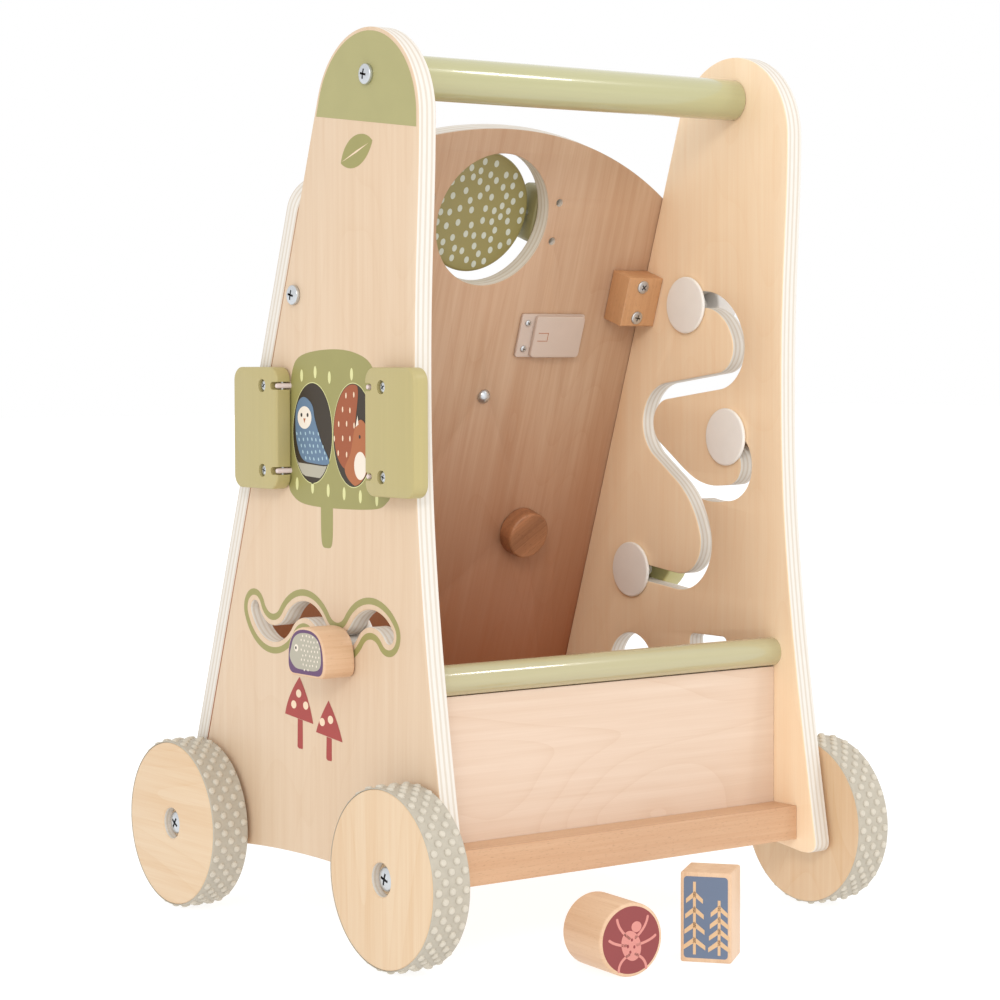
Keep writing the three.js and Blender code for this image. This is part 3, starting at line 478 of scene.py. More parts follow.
def wood(name, pale, deep, along, roughness=0.48, figure=0.5, flecks=0.0, arches=0.0, foot=None):
    """Wood whose grain runs along one of the object's axes (0, 1 or 2).

    Arches draws faint cathedral lines. Foot is the stretch along the grain over which painted shade makes
    the face at z = 0 darker and more red-brown towards its foot.
    """
    pale, deep = colour(*pale), colour(*deep)
    shader = Shader(name, Roughness=roughness)

    def stretched(across, lengthwise):
        scale = [across] * 3
        scale[along] = lengthwise
        return scale

    broad = shader.noise(stretched(26, 2.4), 3, 0.9)
    streaks = shader.noise(stretched(210, 4.5), 4, 0.2)
    fibres = shader.noise(stretched(1100, 22), 3)
    blend = shader.maths("MULTIPLY_ADD", broad, figure * 1.5, 0.5 - figure * 0.75)
    blend = shader.maths("ADD", blend, shader.maths("MULTIPLY_ADD", streaks, 0.7, -0.35))
    blend = shader.maths("ADD", blend, shader.maths("MULTIPLY_ADD", fibres, 0.4, -0.2))
    if arches:
        lines = shader.maths("MULTIPLY", shader.noise(stretched(11, 3.2), 1, 0.25), 16)
        lines = shader.maths("POWER", shader.maths("FRACT", lines), 7)
        blend = shader.maths("ADD", blend, shader.maths("MULTIPLY", lines, arches))
    blend = shader.node("Clamp", {"Value": blend}).outputs[0]
    tone = shader.mix(blend, pale, deep)
    # Painted shade: the face at z = 0 grows darker and more red-brown towards its foot.
    if foot:
        parts = shader.node("SeparateXYZ", {"Vector": shader.place}).outputs
        limits = {"Value": parts[along], "From Min": foot[1] * MM, "From Max": foot[0] * MM}
        shade_fade = shader.node("MapRange", limits).outputs[0]
        shade_fade = shader.maths("MULTIPLY", shade_fade, shader.maths("GREATER_THAN", parts["Z"], -2 * MM))
        painted_shade_tone = (*(share * c for share, c in zip((0.92, 0.44, 0.22), deep)), 1.0)
        tone = shader.mix(shader.maths("MULTIPLY", shade_fade, 0.68), tone, painted_shade_tone)
    if flecks:
        spots = shader.noise(stretched(1900, 330), 1)
        spots = shader.node("MapRange", {"Value": spots, "From Min": 0.62, "From Max": 0.7}).outputs[0]
        tone = shader.mix(shader.maths("MULTIPLY", spots, flecks), tone, shaded(deep, 0.55))
    shader.feed(shader.surface, "Base Color", tone)
    shader.bump(fibres, 0.12, 0.0004)
    return shader.material


def ply_edge(name, thickness, layers=7):
    """The layered edge of plywood whose thickness runs along local Z."""
    shader = Shader(name, Roughness=0.62)
    height = shader.node("SeparateXYZ", {"Vector": shader.place}).outputs["Z"]
    height = shader.maths("MULTIPLY_ADD", shader.noise((30, 30, 30), 2), 0.0005, height)
    layer = shader.maths("FRACT", shader.maths("MULTIPLY", height, layers / (2 * thickness * MM)))
    ramp = shader.node("ValToRGB", {"Fac": layer})
    light, dark = colour(227, 223, 216), colour(212, 203, 190)
    stops = [(0.0, light), (0.52, light), (0.6, dark), (0.92, dark), (1.0, light)]
    elements = ramp.color_ramp.elements
    for position, tone in stops[1:-1]:
        elements.new(position)
    for element, (position, tone) in zip(elements, stops):
        element.position = position
        element.color = tone
    grime = shader.maths("MULTIPLY", shader.noise((160, 160, 900)), 0.22)
    shader.feed(shader.surface, "Base Color", shader.mix(grime, ramp.outputs["Color"], colour(204, 180, 152)))
    shader.bump(layer, 0.15, 0.0003)
    return shader.material


def paint(name, tone, roughness=0.42, coat=0.0, grain=None):
    """Smooth paint with a faint change of tone; grain names the axis along which wood shows through."""
    tone = colour(*tone)
    shader = Shader(name, Roughness=roughness)
    shader.feed(shader.surface, "Coat Weight", coat)
    scale = [60.0] * 3
    if grain is not None:
        scale = [420.0] * 3
        scale[grain] = 9.0
    mottle = shader.noise(scale)
    amount = shader.maths("MULTIPLY", mottle, 0.8)
    shader.feed(shader.surface, "Base Color", shader.mix(amount, tone, shaded(tone, 0.88)))
    shader.bump(mottle, 0.05, 0.0003)
    return shader.material


def rubber(name, tone):
    """Matt rubber with a fine rough skin."""
    tone = colour(*tone)
    shader = Shader(name, Roughness=0.62)
    mottle = shader.noise((240, 240, 240), 4)
    shader.feed(shader.surface, "Base Color", shader.mix(mottle, tone, shaded(tone, 0.8)))
    shader.bump(mottle, 0.2, 0.0003)
    return shader.material


def zinc(name, tone):
    """Plated steel whose gloss varies a little."""
    shader = Shader(name, Metallic=1.0)
    mottle = shader.noise((700, 700, 700))
    shader.feed(shader.surface, "Base Color", colour(*tone))
    shader.feed(shader.surface, "Roughness", shader.maths("MULTIPLY_ADD", mottle, 0.25, 0.2))
    return shader.material


def frosted(name, tone, clear):
    """Milky plastic that lets a little light through."""
    tone = colour(*tone)
    shader = Shader(name, Roughness=0.45)
    shader.feed(shader.surface, "Transmission Weight", clear)
    haze = shader.noise((90, 90, 90))
    shader.feed(shader.surface, "Base Color", shader.mix(haze, tone, shaded(tone, 0.93)))
    shader.bump(haze, 0.04, 0.0003)
    return shader.material


LOOKS = {
    # Both side panels are one birch in two copies: the left one painted darker (painted shade), the right one
    # painted brighter (painted light on its inner face).
    "left_ply_painted_shade": wood("birch_left_painted_shade", (224, 202, 176), (208, 177, 144), 1, figure=0.4, arches=0.12),
    "right_ply_painted_light": wood("birch_right_painted_light", (251, 230, 200), (240, 206, 166), 1, figure=0.4, arches=0.12),
    # The front board's birch is a darker copy, painted shade, and its face grows darker towards the foot,
    # more painted shade.
    "front_ply_painted_shade": wood(
        "birch_front_painted_shade", (206, 176, 148), (174, 130, 96), 1, 0.46, figure=0.55, arches=0.1, foot=(150, 340)),
    "wheel_ply": wood("birch_wheel", (228, 207, 178), (210, 172, 128), 1, 0.45, figure=0.55, arches=0.15),
    "cross_ply": wood("birch_cross", (228, 207, 188), (208, 178, 152), 0, figure=0.4, arches=0.22),
    "ply_edge": ply_edge("ply_edge", PLY),
    "wheel_edge": ply_edge("wheel_edge", WHEEL_WIDTH, 15),
    "beech_cross": wood("beech_cross", (218, 182, 148), (190, 142, 104), 0, 0.5, figure=0.6, flecks=0.3),
    "beech": wood("beech_lengthwise", (236, 206, 174), (202, 158, 120), 2, 0.45, figure=0.9, flecks=0.15),
    "beech_upright": wood("beech_upright", (214, 168, 124), (184, 130, 86), 1, figure=0.7, flecks=0.25),
    "knob_beech": wood("beech_knob", (190, 132, 92), (84, 44, 22), 0, 0.45, figure=1.9, flecks=0.3),
    "pale_toy": paint("pale_toy_wash", (222, 220, 218)),
    "olive": paint("olive_paint", (184, 179, 122), 0.4),
    "cap": paint("cap_paint", (170, 164, 110), 0.4),
    "flip": paint("flip_paint", (150, 140, 86), 0.4),
    "holder": paint("holder_paint", (140, 134, 92), 0.45),
    "bar": paint("bar_paint", (182, 179, 134), 0.22, coat=0.8, grain=2),
    "rail": paint("rail_paint", (186, 178, 138), 0.2, coat=0.7, grain=2),
    "flap": paint("flap_paint", (184, 170, 116), grain=1),
    "post": paint("post_plastic", (226, 208, 204), 0.35),
    "rubber": rubber("tyre_rubber", (192, 184, 168)),
    # The studs are the tyre's own rubber painted lighter, a painted highlight on the raised bumps.
    "stud": rubber("stud_rubber_painted_highlight", (212, 204, 188)),
    "zinc": zinc("zinc_plate", (204, 208, 212)),
    # Dark zinc for the inside of the screws' cross recesses is painted shade.
    "recess": zinc("recess_painted_shade", (84, 78, 74)),
    "frosted": frosted("frosted_plastic", (252, 248, 242), 0.06),
    "clicker": frosted("clicker_plastic", (216, 196, 182), 0.12),
}
INKS = {
    "tree": (156, 150, 90), "drop": (222, 220, 158), "dark": (48, 36, 20), "blue": (98, 124, 150),
    "pale": (240, 228, 212), "ice": (176, 204, 214), "grey": (180, 174, 156), "rust": (158, 80, 40),
    "pink": (215, 140, 130), "brown": (176, 102, 56), "cream": (240, 214, 184), "sand": (222, 184, 142),
    "red": (166, 60, 54), "wine": (142, 62, 62), "purple": (98, 64, 104), "slate": (104, 118, 142),
    "dot": (202, 206, 192), "black": (40, 36, 34),
}
LOOKS.update({name: paint(f"{name}_print", tone, 0.5) for name, tone in INKS.items()})


# ---------------------------------------------------------------- pieces
def add(name, mesh, place, looks, body=ROOT, instead_of=(), edge=None):
    """Makes a piece that rides on a CAD body; edge is the look of faces that stand across local Z."""
    piece = bpy.data.objects.new(name, mesh)
    bpy.context.scene.collection.objects.link(piece)
    piece.matrix_world = place
    mesh.materials.clear()
    mesh.materials.append(LOOKS[looks])
    if edge:
        mesh.materials.append(LOOKS[edge])
        for polygon in mesh.polygons:
            polygon.material_index = int(abs(polygon.normal.z) < 0.6)
    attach(piece, body)
    if instead_of:
        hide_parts(*instead_of)
    return piece


def second_look(piece, looks, chosen):
    """Gives another finish to the faces whose centres are chosen."""
    piece.data.materials.append(LOOKS[looks])
    for polygon in piece.data.polygons:
        if chosen(polygon.center):
            polygon.material_index = 1


def keep(node, looks, bevel=0.0):
    """Gives a CAD node its finish and, if asked, rounded edges."""
    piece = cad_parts[node]
    piece.data.materials.clear()
    piece.data.materials.append(LOOKS[looks])
    if bevel:
        rounding = piece.modifiers.new("rounding", "BEVEL")
        rounding.width = bevel * MM
        rounding.segments = 3
        rounding.limit_method = "ANGLE"
        rounding.angle_limit = math.radians(40)
        rounding.harden_normals = True
    return piece


def print_layer(level, towards):
    """The lower and upper local z of a printed layer."""
    low = PRINT["lift"] + PRINT["layer"] * level
    return sorted([towards * low, towards * (low + PRINT["film"])])


def printed(name, outlines, place, looks, level=0, towards=1, body=ROOT):
    """A printed patch: a thin layer on the face at local z = 0, on top of those with a lower level."""
    return add(name, plate_mesh(name, outlines, *print_layer(level, towards)), place, looks, body)


def printed_marks(name, marks, place, looks, level=0, towards=1, body=ROOT):
    """Many separate printed marks as one piece."""
    bm = bmesh.new()
    low, high = print_layer(level, towards)
    for outline in marks:
        bottom = [bm.verts.new((x, y, low)) for x, y in outline]
        top = [bm.verts.new((x, y, high)) for x, y in outline]
        bm.faces.new(bottom[::-1])
        bm.faces.new(top)
        for k in range(len(outline)):
            after = (k + 1) % len(outline)
            bm.faces.new((bottom[k], bottom[after], top[after], top[k]))
    bmesh.ops.scale(bm, vec=(MM, MM, MM), verts=bm.verts)
    mesh = bpy.data.meshes.new(name)
    bm.to_mesh(mesh)
    bm.free()
    return add(name, mesh, place, looks, body)


# ---------------------------------------------------------------- screws and bolts
def cross_outline(reach, half_width):
    points = []
    for quarter in range(4):
        turn = Matrix.Rotation(quarter * math.pi / 2, 2)
        for corner in ((half_width, half_width), (half_width, reach), (-half_width, reach)):
            points.append(tuple(turn @ Vector(corner)))
    return points[::-1]


def screw_mesh(name, radius, height, shank, length, crown=0.45):
    """A domed head above z = 0 with a cross recess, and its shank below."""
    dome = []
    for k in range(7):
        angle = math.radians(15 * k)
        rise = height * (1 - crown) + height * crown * math.sin(angle)
        dome.append((radius * math.cos(angle) if k < 6 else 0, rise))
    profile = [(0, -length), (shank, -length), (shank, 0), (radius, 0), *dome]
    head = turned_mesh(name, profile, 40)
    recess = plate_mesh("recess", [cross_outline(radius * 0.5, radius * 0.11)], height * 0.35, height + 1)
    return cut_mesh(head, [recess])


def add_screw(name, mesh, place, turn, node=None, body=ROOT):
    spun = place @ Matrix.Rotation(math.radians(turn), 4, "Z")
    piece = add(name, mesh, spun, "zinc", body, (node,) if node else ())
    top = max(vertex.co.z for vertex in mesh.vertices)
    reach = 0.53 * max(vertex.co.x for vertex in mesh.vertices)
    # The faces inside the cross recess take the dark zinc, painted shade.
    second_look(piece, "recess", lambda spot: 0 < spot.z < 0.8 * top and math.hypot(spot.x, spot.y) < reach)


def add_side_bolts():
    axle = screw_mesh("axle_bolt", 6.8, 3.4, 4, 20)
    panel = screw_mesh("panel_bolt", 5.8, 3.0, 3, 12)
    recess_floor = WHEEL_X + WHEEL_WIDTH - HUB_RECESS["depth"]
    for side, label in SIDES:
        for end, end_label in ENDS:
            node = f"axle_bolt_{end_label}_{label}"
            place = facing(side, recess_floor + GAP, end * AXLE_Y, AXLE_Z)
            add_screw(f"axle_head_{end_label}_{label}", axle, place, 20 + 37 * end, node)
        for kind in ("handle_bolt", "side_bolt"):
            node = f"{kind}_{label}"
            place = facing(side, HALF_WIDTH + GAP, *side_view(node))
            add_screw(f"{kind}_head_{label}", panel, place, 12 + 25 * side, node)


# ---------------------------------------------------------------- side panels
def side_panel_outline():
    """The arched foot, the sloping front edge, the round top and the waisted rear edge."""

    def front_edge(z):
        return (FRONT_FOOT_Y - z * TANGENT, z)

    rise = ARCH_TOP_Z - FOOT_Z
    arch = (ARCH_HALF_SPAN ** 2 + rise ** 2) / (2 * rise)
    reach = math.degrees(math.asin(ARCH_HALF_SPAN / arch))
    y, z, radius = TOP_ARC
    waist_y, waist_z = REAR_WAIST
    foot_y, foot_z = REAR_FOOT
    outline = arc((0, ARCH_TOP_Z - arch), arch, 90 + reach, 90 - reach, 30)
    outline += bezier((ARCH_HALF_SPAN, FOOT_Z), front_edge(FOOT_Z), front_edge(FOOT_Z + 8), steps=8)[1:]
    outline += arc((y, z), radius, LEAN, 180, 60)
    outline += bezier((y - radius, z), (y - radius, z - 50), (waist_y, waist_z + 70), REAR_WAIST)[1:]
    outline += bezier(REAR_WAIST, (waist_y, waist_z - 90), (foot_y + 23, foot_z + 130), REAR_FOOT)[1:]
    outline += bezier(REAR_FOOT, (foot_y - 1, FOOT_Z), (foot_y + 10, FOOT_Z), steps=8)[1:]
    return outline


def slider_slot_outlines():
    """The outlines of the S-shaped slot and of the loop that branches off it."""
    starts = [(*home, 0, 0) for home in SLIDER_HOMES]
    bends = [ENTRY_BEND, TOP_BEND, MIDDLE_BEND, DIAGONAL_BEND, LOWER_BEND]
    main = route_points([starts[0], *bends, starts[2]])
    loop = route_points([starts[1], SIDE_LOOP, LOOP_EXIT, (*LOOP_JOINS_AT, 0, 0)])
    return slot_outline(main, SLOT_WIDTH), slot_outline(loop, SLOT_WIDTH)


def add_side_panels():
    wave = slot_outline(wave_points(), WAVE_SLOT_WIDTH)
    left = plate_mesh("left_panel", [side_panel_outline(), wave], 0, PLY, 0.9)
    # The left panel takes the darker copy of the birch, painted shade.
    add("left_panel", left, side_place(-HALF_WIDTH), "left_ply_painted_shade", ROOT,
        ("left_side_panel",), "ply_edge")

    y, z, width, height, corner = SQUARE_SORTER
    main, loop = slider_slot_outlines()
    round_hole = oval(ROUND_SORTER[:2], ROUND_SORTER[2], steps=72)
    holes = [main, round_hole, rounded_rectangle((y, z), width, height, corner)]
    right = plate_mesh("right_panel", [side_panel_outline(), *holes], 0, PLY, 0.9)
    right = cut_mesh(right, [plate_mesh("loop_cut", [loop], -1, PLY + 1)])
    # The right panel takes the brighter copy of the birch, painted light.
    add("right_panel", right, side_place(INNER_X), "right_ply_painted_light", ROOT,
        ("right_side_panel",), "ply_edge")


def add_cap_paint():
    """The painted top of each side panel, a little inside its rim."""
    y, z, radius = TOP_ARC
    inner = radius - 2.2
    cap = [(-12.4, 477.4), *arc((y, z), inner, LEAN, 180, 48), (y - inner, 464.9)]
    hole = oval(side_view("handle_bolt_left"), 3.4, steps=24)
    for x, label, towards in ((-HALF_WIDTH, "left", -1), (HALF_WIDTH, "right", 1)):
        printed(f"cap_paint_{label}", [cap, hole], side_place(x), "cap", 0, towards)


def add_small_leaf():
    """A plain leaf near the top of the left panel."""
    face = side_place(-HALF_WIDTH)
    upper = bezier((-38, 449), (-42, 466), (-62, 468), (-70, 460))
    lower = bezier((-70, 460), (-64, 446), (-48, 442), (-38, 449))
    vein = [(-38.5, 449.6), (-54, 454.2), (-66, 458.9), (-54, 455.4)]
    printed("leaf_print", [upper + lower[1:-1]], face, "tree", 0, -1)
    printed("leaf_vein", [vein], face, "cream", 1, -1)


# ---------------------------------------------------------------- printed tree with its two pictures
def within(outline, centre, width, height):
    """Pulls the points that leave an ellipse back onto it."""
    points = []
    for x, y in outline:
        reach = math.hypot((x - centre[0]) / width, (y - centre[1]) / height)
        pull = min(1.0, 1 / reach) if reach else 1.0
        points.append((centre[0] + (x - centre[0]) * pull, centre[1] + (y - centre[1]) * pull))
    return points


def add_tree():
    face = side_place(-HALF_WIDTH)
    crown = smooth_loop([
        (-26, 343.2), (4, 340), (14.5, 331), (17.5, 310), (19.8, 270), (14, 257), (-8, 252), (-64, 252.4),
        (-82, 256.5), (-86.5, 268), (-78, 312), (-69, 333), (-52, 341)])
    stem = bezier((-15.3, 254), (-15.3, 228), (-15.6, 228.3), (-21.6, 228.3)) + bezier(
        (-21.6, 228.3), (-27.6, 228.3), (-27.9, 228), (-27.9, 254))
    windows = {"front": ((-6.9, 294.6), 20.8, 29.1), "rear": ((-49.4, 294.2), 20.5, 29.5)}
    printed("tree_crown", [crown], face, "tree", 0, -1)
    printed("tree_stem", [stem], face, "tree", 0.2, -1)
    for label, (centre, width, height) in windows.items():
        printed(f"window_rim_{label}", [oval(centre, width + 0.5, height + 0.5, 64)], face, "drop", 1, -1)
        printed(f"window_{label}", [oval(centre, width, height, 64)], face, "dark", 2, -1)
    drops = [oval(place, 1.5, 3.6, 16) for place in ((4.5, 328), (-10, 330), (-25, 327), (-48, 329))]
    drops += [oval((10 - 16.6 * k, 264.5 - 1.5 * k + 0.06 * k * k), 1.5, 3.8, 16) for k in range(6)]
    printed_marks("tree_drops", drops, face, "drop", 1, -1)
    add_bird(face, *windows["front"])
    add_squirrel(face, *windows["rear"])


def add_bird(face, centre, width, height):
    """A small round-headed bird on a branch."""

    def branch_edge(level):
        return [(16 - 46 * k / 12, level - 2.4 * k / 12) for k in range(13)]

    body = smooth_loop([
        (1.5, 315.5), (-6.8, 311), (-10, 302), (-17, 289), (-24.6, 277.5), (-8, 277), (4, 279.5), (10, 290),
        (11, 304), (8, 312.5)])
    branch = within(branch_edge(277.4) + branch_edge(270.2)[::-1], centre, width - 0.6, height - 0.6)
    printed("bird_branch", [branch], face, "grey", 3, -1)
    printed("bird_body", [body], face, "blue", 4, -1)
    printed("bird_face", [oval((1.2, 303.5), 7.4, 6.6, 32)], face, "pale", 5, -1)
    eyes = [oval((y, 305), 1.0, 1.2, 14) for y in (4.4, -2.2)]
    printed_marks("bird_eyes", eyes, face, "black", 6, -1)
    printed("bird_beak", [[(2.4, 303), (0, 303), (1.2, 300.2)]], face, "brown", 6, -1)
    chest = [(x, y) for x, y in body if y < 298]
    flecks = [oval(p, 0.55, 1.1, 10, -20) for p in sprinkle(chest, 4.6, 3.6, 0.5)]
    printed_marks("bird_flecks", flecks, face, "ice", 5, -1)


def add_squirrel(face, centre, width, height):
    """A squirrel-like animal, its bushy tail towards the front."""
    tail = smooth_loop([
        (-40, 322), (-31, 312), (-29.5, 296), (-33, 282), (-42, 275), (-50, 286), (-52, 302), (-54, 322)])
    body = smooth_loop([
        (-56, 303), (-51, 297), (-47, 284), (-41, 275), (-46, 268), (-56, 265), (-64, 274), (-66, 292),
        (-62, 301)])
    tail, body = (within(shape, centre, width - 0.5, height - 0.5) for shape in (tail, body))
    printed("squirrel_tail", [tail], face, "rust", 3, -1)
    marks = [oval(p, 0.7, 1.7, 10) for p in sprinkle(tail, 8.0, 8.4, 0.5)]
    printed_marks("squirrel_tail_marks", marks, face, "cream", 4, -1)
    printed("squirrel_body", [body], face, "brown", 5, -1)
    printed("squirrel_belly", [oval((-57, 277), 6.2, 8, 32)], face, "pale", 6, -1)
    printed("squirrel_ear", [[(-52.4, 299), (-55.4, 300.5), (-54.4, 305.5)]], face, "pale", 6, -1)
    printed_marks("squirrel_eye", [oval((-56.5, 293.5), 0.9, 1.1, 14)], face, "black", 6, -1)


# ---------------------------------------------------------------- flaps
def add_flap(which):
    """A picture flap with notches for its hinge posts and two sunk screws."""
    outwards = 1 if which == "front" else -1
    edge = FLAP_EDGES[which]
    screw_y = edge + outwards * FLAP_SCREWS["inset"]
    centre = (edge + outwards * FLAP["width"] / 2, FLAP["z"])
    face_x = HALF_WIDTH + FLAP["stand_off"] + FLAP["thickness"]
    outline = rounded_rectangle(centre, FLAP["width"], FLAP["height"], FLAP["corner"], 12)
    board = plate_mesh(f"flap_board_{which}", [outline], 0, FLAP["thickness"], 1.2)
    cutters = []
    for z in FLAP_POSTS:
        notch = rounded_rectangle((edge, z), *FLAP_NOTCH)
        cutters.append(plate_mesh("notch", [notch], -1, FLAP["thickness"] + 1))
        recess = oval((screw_y, z), FLAP_SCREWS["recess"], steps=32)
        cutters.append(plate_mesh("recess", [recess], -1, FLAP_SCREWS["depth"]))
    body = f"{which}_flap"
    add(f"flap_board_{which}", cut_mesh(board, cutters), side_place(-face_x), "flap", body,
        (f"flap_{which}",))
    screw = screw_mesh(f"flap_screw_{which}", 3.3, 1.8, 1.2, 1.0)
    for i, z in enumerate(FLAP_POSTS):
        place = facing(-1, face_x - FLAP_SCREWS["sunk"], screw_y, z)
        add_screw(f"flap_screw_{which}_{i + 1}", screw, place, 30 + 40 * i, None, body)


def add_hinge_posts():
    """Pale posts that stand out of the panel, each with a rounded tip."""
    radius, foot = HINGE_POST["radius"], -HINGE_POST["depth"]
    tip = FLAP["stand_off"] + FLAP["thickness"] / 2 + HINGE_POST["past_pin"]
    shaft = [(0, foot), (radius, foot), (radius, tip - 1.2)]
    post = turned_mesh("hinge_post", [*shaft, (1.2, tip - 0.4), (0.6, tip - 0.05), (0, tip)], 28)
    for which in ("front", "rear"):
        axis = side_view(f"flap_hinge_pin_{which}")[0]
        for i, z in enumerate(FLAP_POSTS, 1):
            place = facing(-1, HALF_WIDTH, axis, z)
            node = f"flap_hinge_post_{which}_{i}"
            add(f"hinge_post_{which}_{i}", post, place, "post", ROOT, (node,))


# ---------------------------------------------------------------- wave slot, mushrooms
def add_wave_band():
    centre_line = wave_points(4)
    band = [slot_outline(centre_line, 23.8, 18), slot_outline(centre_line, 16.2, 18)]
    printed("wave_band", band, side_place(-HALF_WIDTH), "tree", 0, -1)


def add_mushroom(label, apex, base_front, base_rear, stem_foot, dots):
    """A pointed cap with pale dots on a slightly splayed stem."""
    face = side_place(-HALF_WIDTH)
    front_side = bezier(apex, (base_front[0] - 3, apex[1] - 12), base_front, steps=10)
    rear_side = bezier(base_rear, (base_rear[0] + 4, apex[1] - 12), apex, steps=10)
    half, y = 2.7, apex[0] - 0.4
    top = (base_front[1] + base_rear[1]) / 2
    stem = [(y + half, top), (y + half * 1.15, stem_foot + 1), (y + half * 0.6, stem_foot),
            (y - half * 0.9, stem_foot), (y - half, stem_foot + 1), (y - half, top - 0.6)]
    printed(f"mushroom_stem_{label}", [stem], face, "red", 0, -1)
    printed(f"mushroom_cap_{label}", [front_side + rear_side[:-1]], face, "red", 1, -1)
    marks = [oval(dot, 2.8, 2.4, 24) for dot in dots]
    printed_marks(f"mushroom_dots_{label}", marks, face, "cream", 2, -1)


def knob_outline(width, height):
    """A D lying on its flat side."""
    x, y = width / 2, height / 2
    left = bezier((0, y), (-x * 0.55, y), (-x, y * 0.75), (-x, -y + 7))
    left += bezier((-x, -y + 7), (-x, -y), (-x + 6, -y), steps=8)[1:]
    return left + [(-u, v) for u, v in left[:0:-1]]


def add_wave_knob():
    """The D-shaped knob with a picture on its end."""
    rides_on, margin = "wave_slider", 1.4
    width, height, length = (WAVE_KNOB[k] for k in ("width", "height", "length"))
    face_x = -HALF_WIDTH - SLIDER["clear"] - length
    place = side_place(face_x, WAVE["dip_y"], WAVE["dip_z"] - WAVE_KNOB["drop"])
    body = plate_mesh("wave_knob_body", [knob_outline(width, height)], 0, length, 1.2)
    add("wave_knob_body", body, place, "beech", rides_on, ("wave_knob",))
    field = knob_outline(width - 2 * margin, height - 2 * margin)
    printed("wave_knob_field", [field], place, "purple", 0, -1, body=rides_on)
    creature = smooth_loop([
        (15, 2), (12, 7.5), (5, 10.6), (-6, 10.6), (-13.5, 7), (-16, 0), (-15.4, -7), (-10, -10),
        (2, -10.2), (11, -9.4), (16.6, -4)])
    printed("wave_knob_creature", [creature], place, "grey", 1, -1, body=rides_on)
    back = [p for p in creature if p[0] < 6]
    marks = [oval(p, 0.5, 0.7, 8) for p in sprinkle(back, 3.4, 2.8, 0.4)]
    printed_marks("wave_knob_marks", marks, place, "pale", 2, -1, rides_on)
    printed("wave_knob_eye", [oval((9.5, 1.8), 2.1, 2.1, 20)], place, "pale", 2, -1, body=rides_on)
    printed("wave_knob_pupil", [oval((9.9, 1.8), 0.8, 0.9, 14)], place, "black", 3, -1, body=rides_on)


def slider_disc_mesh(name, shaft_radius):
    """A disc with a soft rim, its outer face at z = 0, on a shaft that reaches into the figure outside."""
    disc, clear = SLIDER["disc"], SLIDER["clear"]
    end = disc + clear + PLY + clear + SLIDER["socket"]
    rim = arc((SLIDER["disc_radius"] - disc / 2, disc / 2), disc / 2, -90, 90, 9)
    return turned_mesh(name, [(0, 0), *rim, (shaft_radius, disc), (shaft_radius, end), (0, end)], 72)


def pointed_oval(half, bulge):
    lower = bezier((-half, 0), (-half / 2, -bulge), (half / 2, -bulge), (half, 0))
    return lower + [(-x, -y) for x, y in lower[1:-1]]


def add_sliders():
    """The three sliders of the long slot and the disc of the wave slider."""
    clear = SLIDER["clear"]
    inner_face = INNER_X - clear - SLIDER["disc"]
    round_toy = oval((0, 0), 15, steps=64)
    toys = ((round_toy, "pale_toy", "beech"), (round_toy, "beech", "beech"),
            (pointed_oval(22, 19.8), "olive", "olive_paint"))
    spool = slider_disc_mesh("slider_disc", SLIDER["shaft_radius"])
    for i, ((y, z), (outline, looks, slot)) in enumerate(zip(SLIDER_HOMES, toys), 1):
        body = f"slider_{i}"
        add(f"slider_disc_{i}", spool, side_place(inner_face, y, z), "frosted", body,
            (f"slider_spool_{i}",))
        solid = plate_mesh(f"slider_toy_{i}", [outline], 0, SLIDER["figure"], 1.5)
        add(f"slider_toy_{i}", solid, side_place(HALF_WIDTH + clear, y, z), looks, body,
            (f"slider_figure_{i}",))
    wave = slider_disc_mesh("wave_disc", WAVE_SHAFT_RADIUS)
    place = facing(-1, inner_face, WAVE["dip_y"], WAVE["dip_z"])
    add("wave_disc", wave, place, "frosted", "wave_slider", ("wave_spool",))


# ---------------------------------------------------------------- front panel and what it carries
def front_panel_outline():
    bottom, apex, radius, corner = (FRONT[k] for k in ("bottom", "apex", "arc", "corner"))
    centre, x = apex - radius, HALF_WIDTH - corner
    s = centre + math.sqrt((radius - corner) ** 2 - x ** 2)
    tangent = math.degrees(math.atan2(s - centre, x))
    outline = [(-HALF_WIDTH, bottom), (HALF_WIDTH, bottom)]
    outline += arc((x, s), corner, 0, tangent, 12)
    outline += arc((0, centre), radius, tangent, 180 - tangent, 64)[1:]
    outline += arc((-x, s), corner, 180 - tangent, 180, 12)[1:]
    return outline


def bracket_screw_places():
    across, rise = BRACKET_SCREWS["x"], BRACKET_SCREWS["pitch"] / 2
    return [(side * across, FLIP_HOLE["s"] + up * rise) for side in (-1, 1) for up in (-1, 1)]


def add_front_panel():
    holes = [oval((0, FLIP_HOLE["s"]), FLIP_HOLE["radius"], steps=96)]
    holes += [oval(place, 2.4, steps=24) for place in bracket_screw_places()]
    holes += [oval(UPPER_GEAR, 3.3, steps=24), oval(LOWER_GEAR, 5.3, steps=24)]
    mesh = plate_mesh("front_board", [front_panel_outline(), *holes], -PLY, 0, 0.6)
    # The front board's finish carries painted shade, darker overall and darker still towards its foot.
    add("front_board", mesh, front_place(), "front_ply_painted_shade", ROOT, ("front_panel",), "ply_edge")


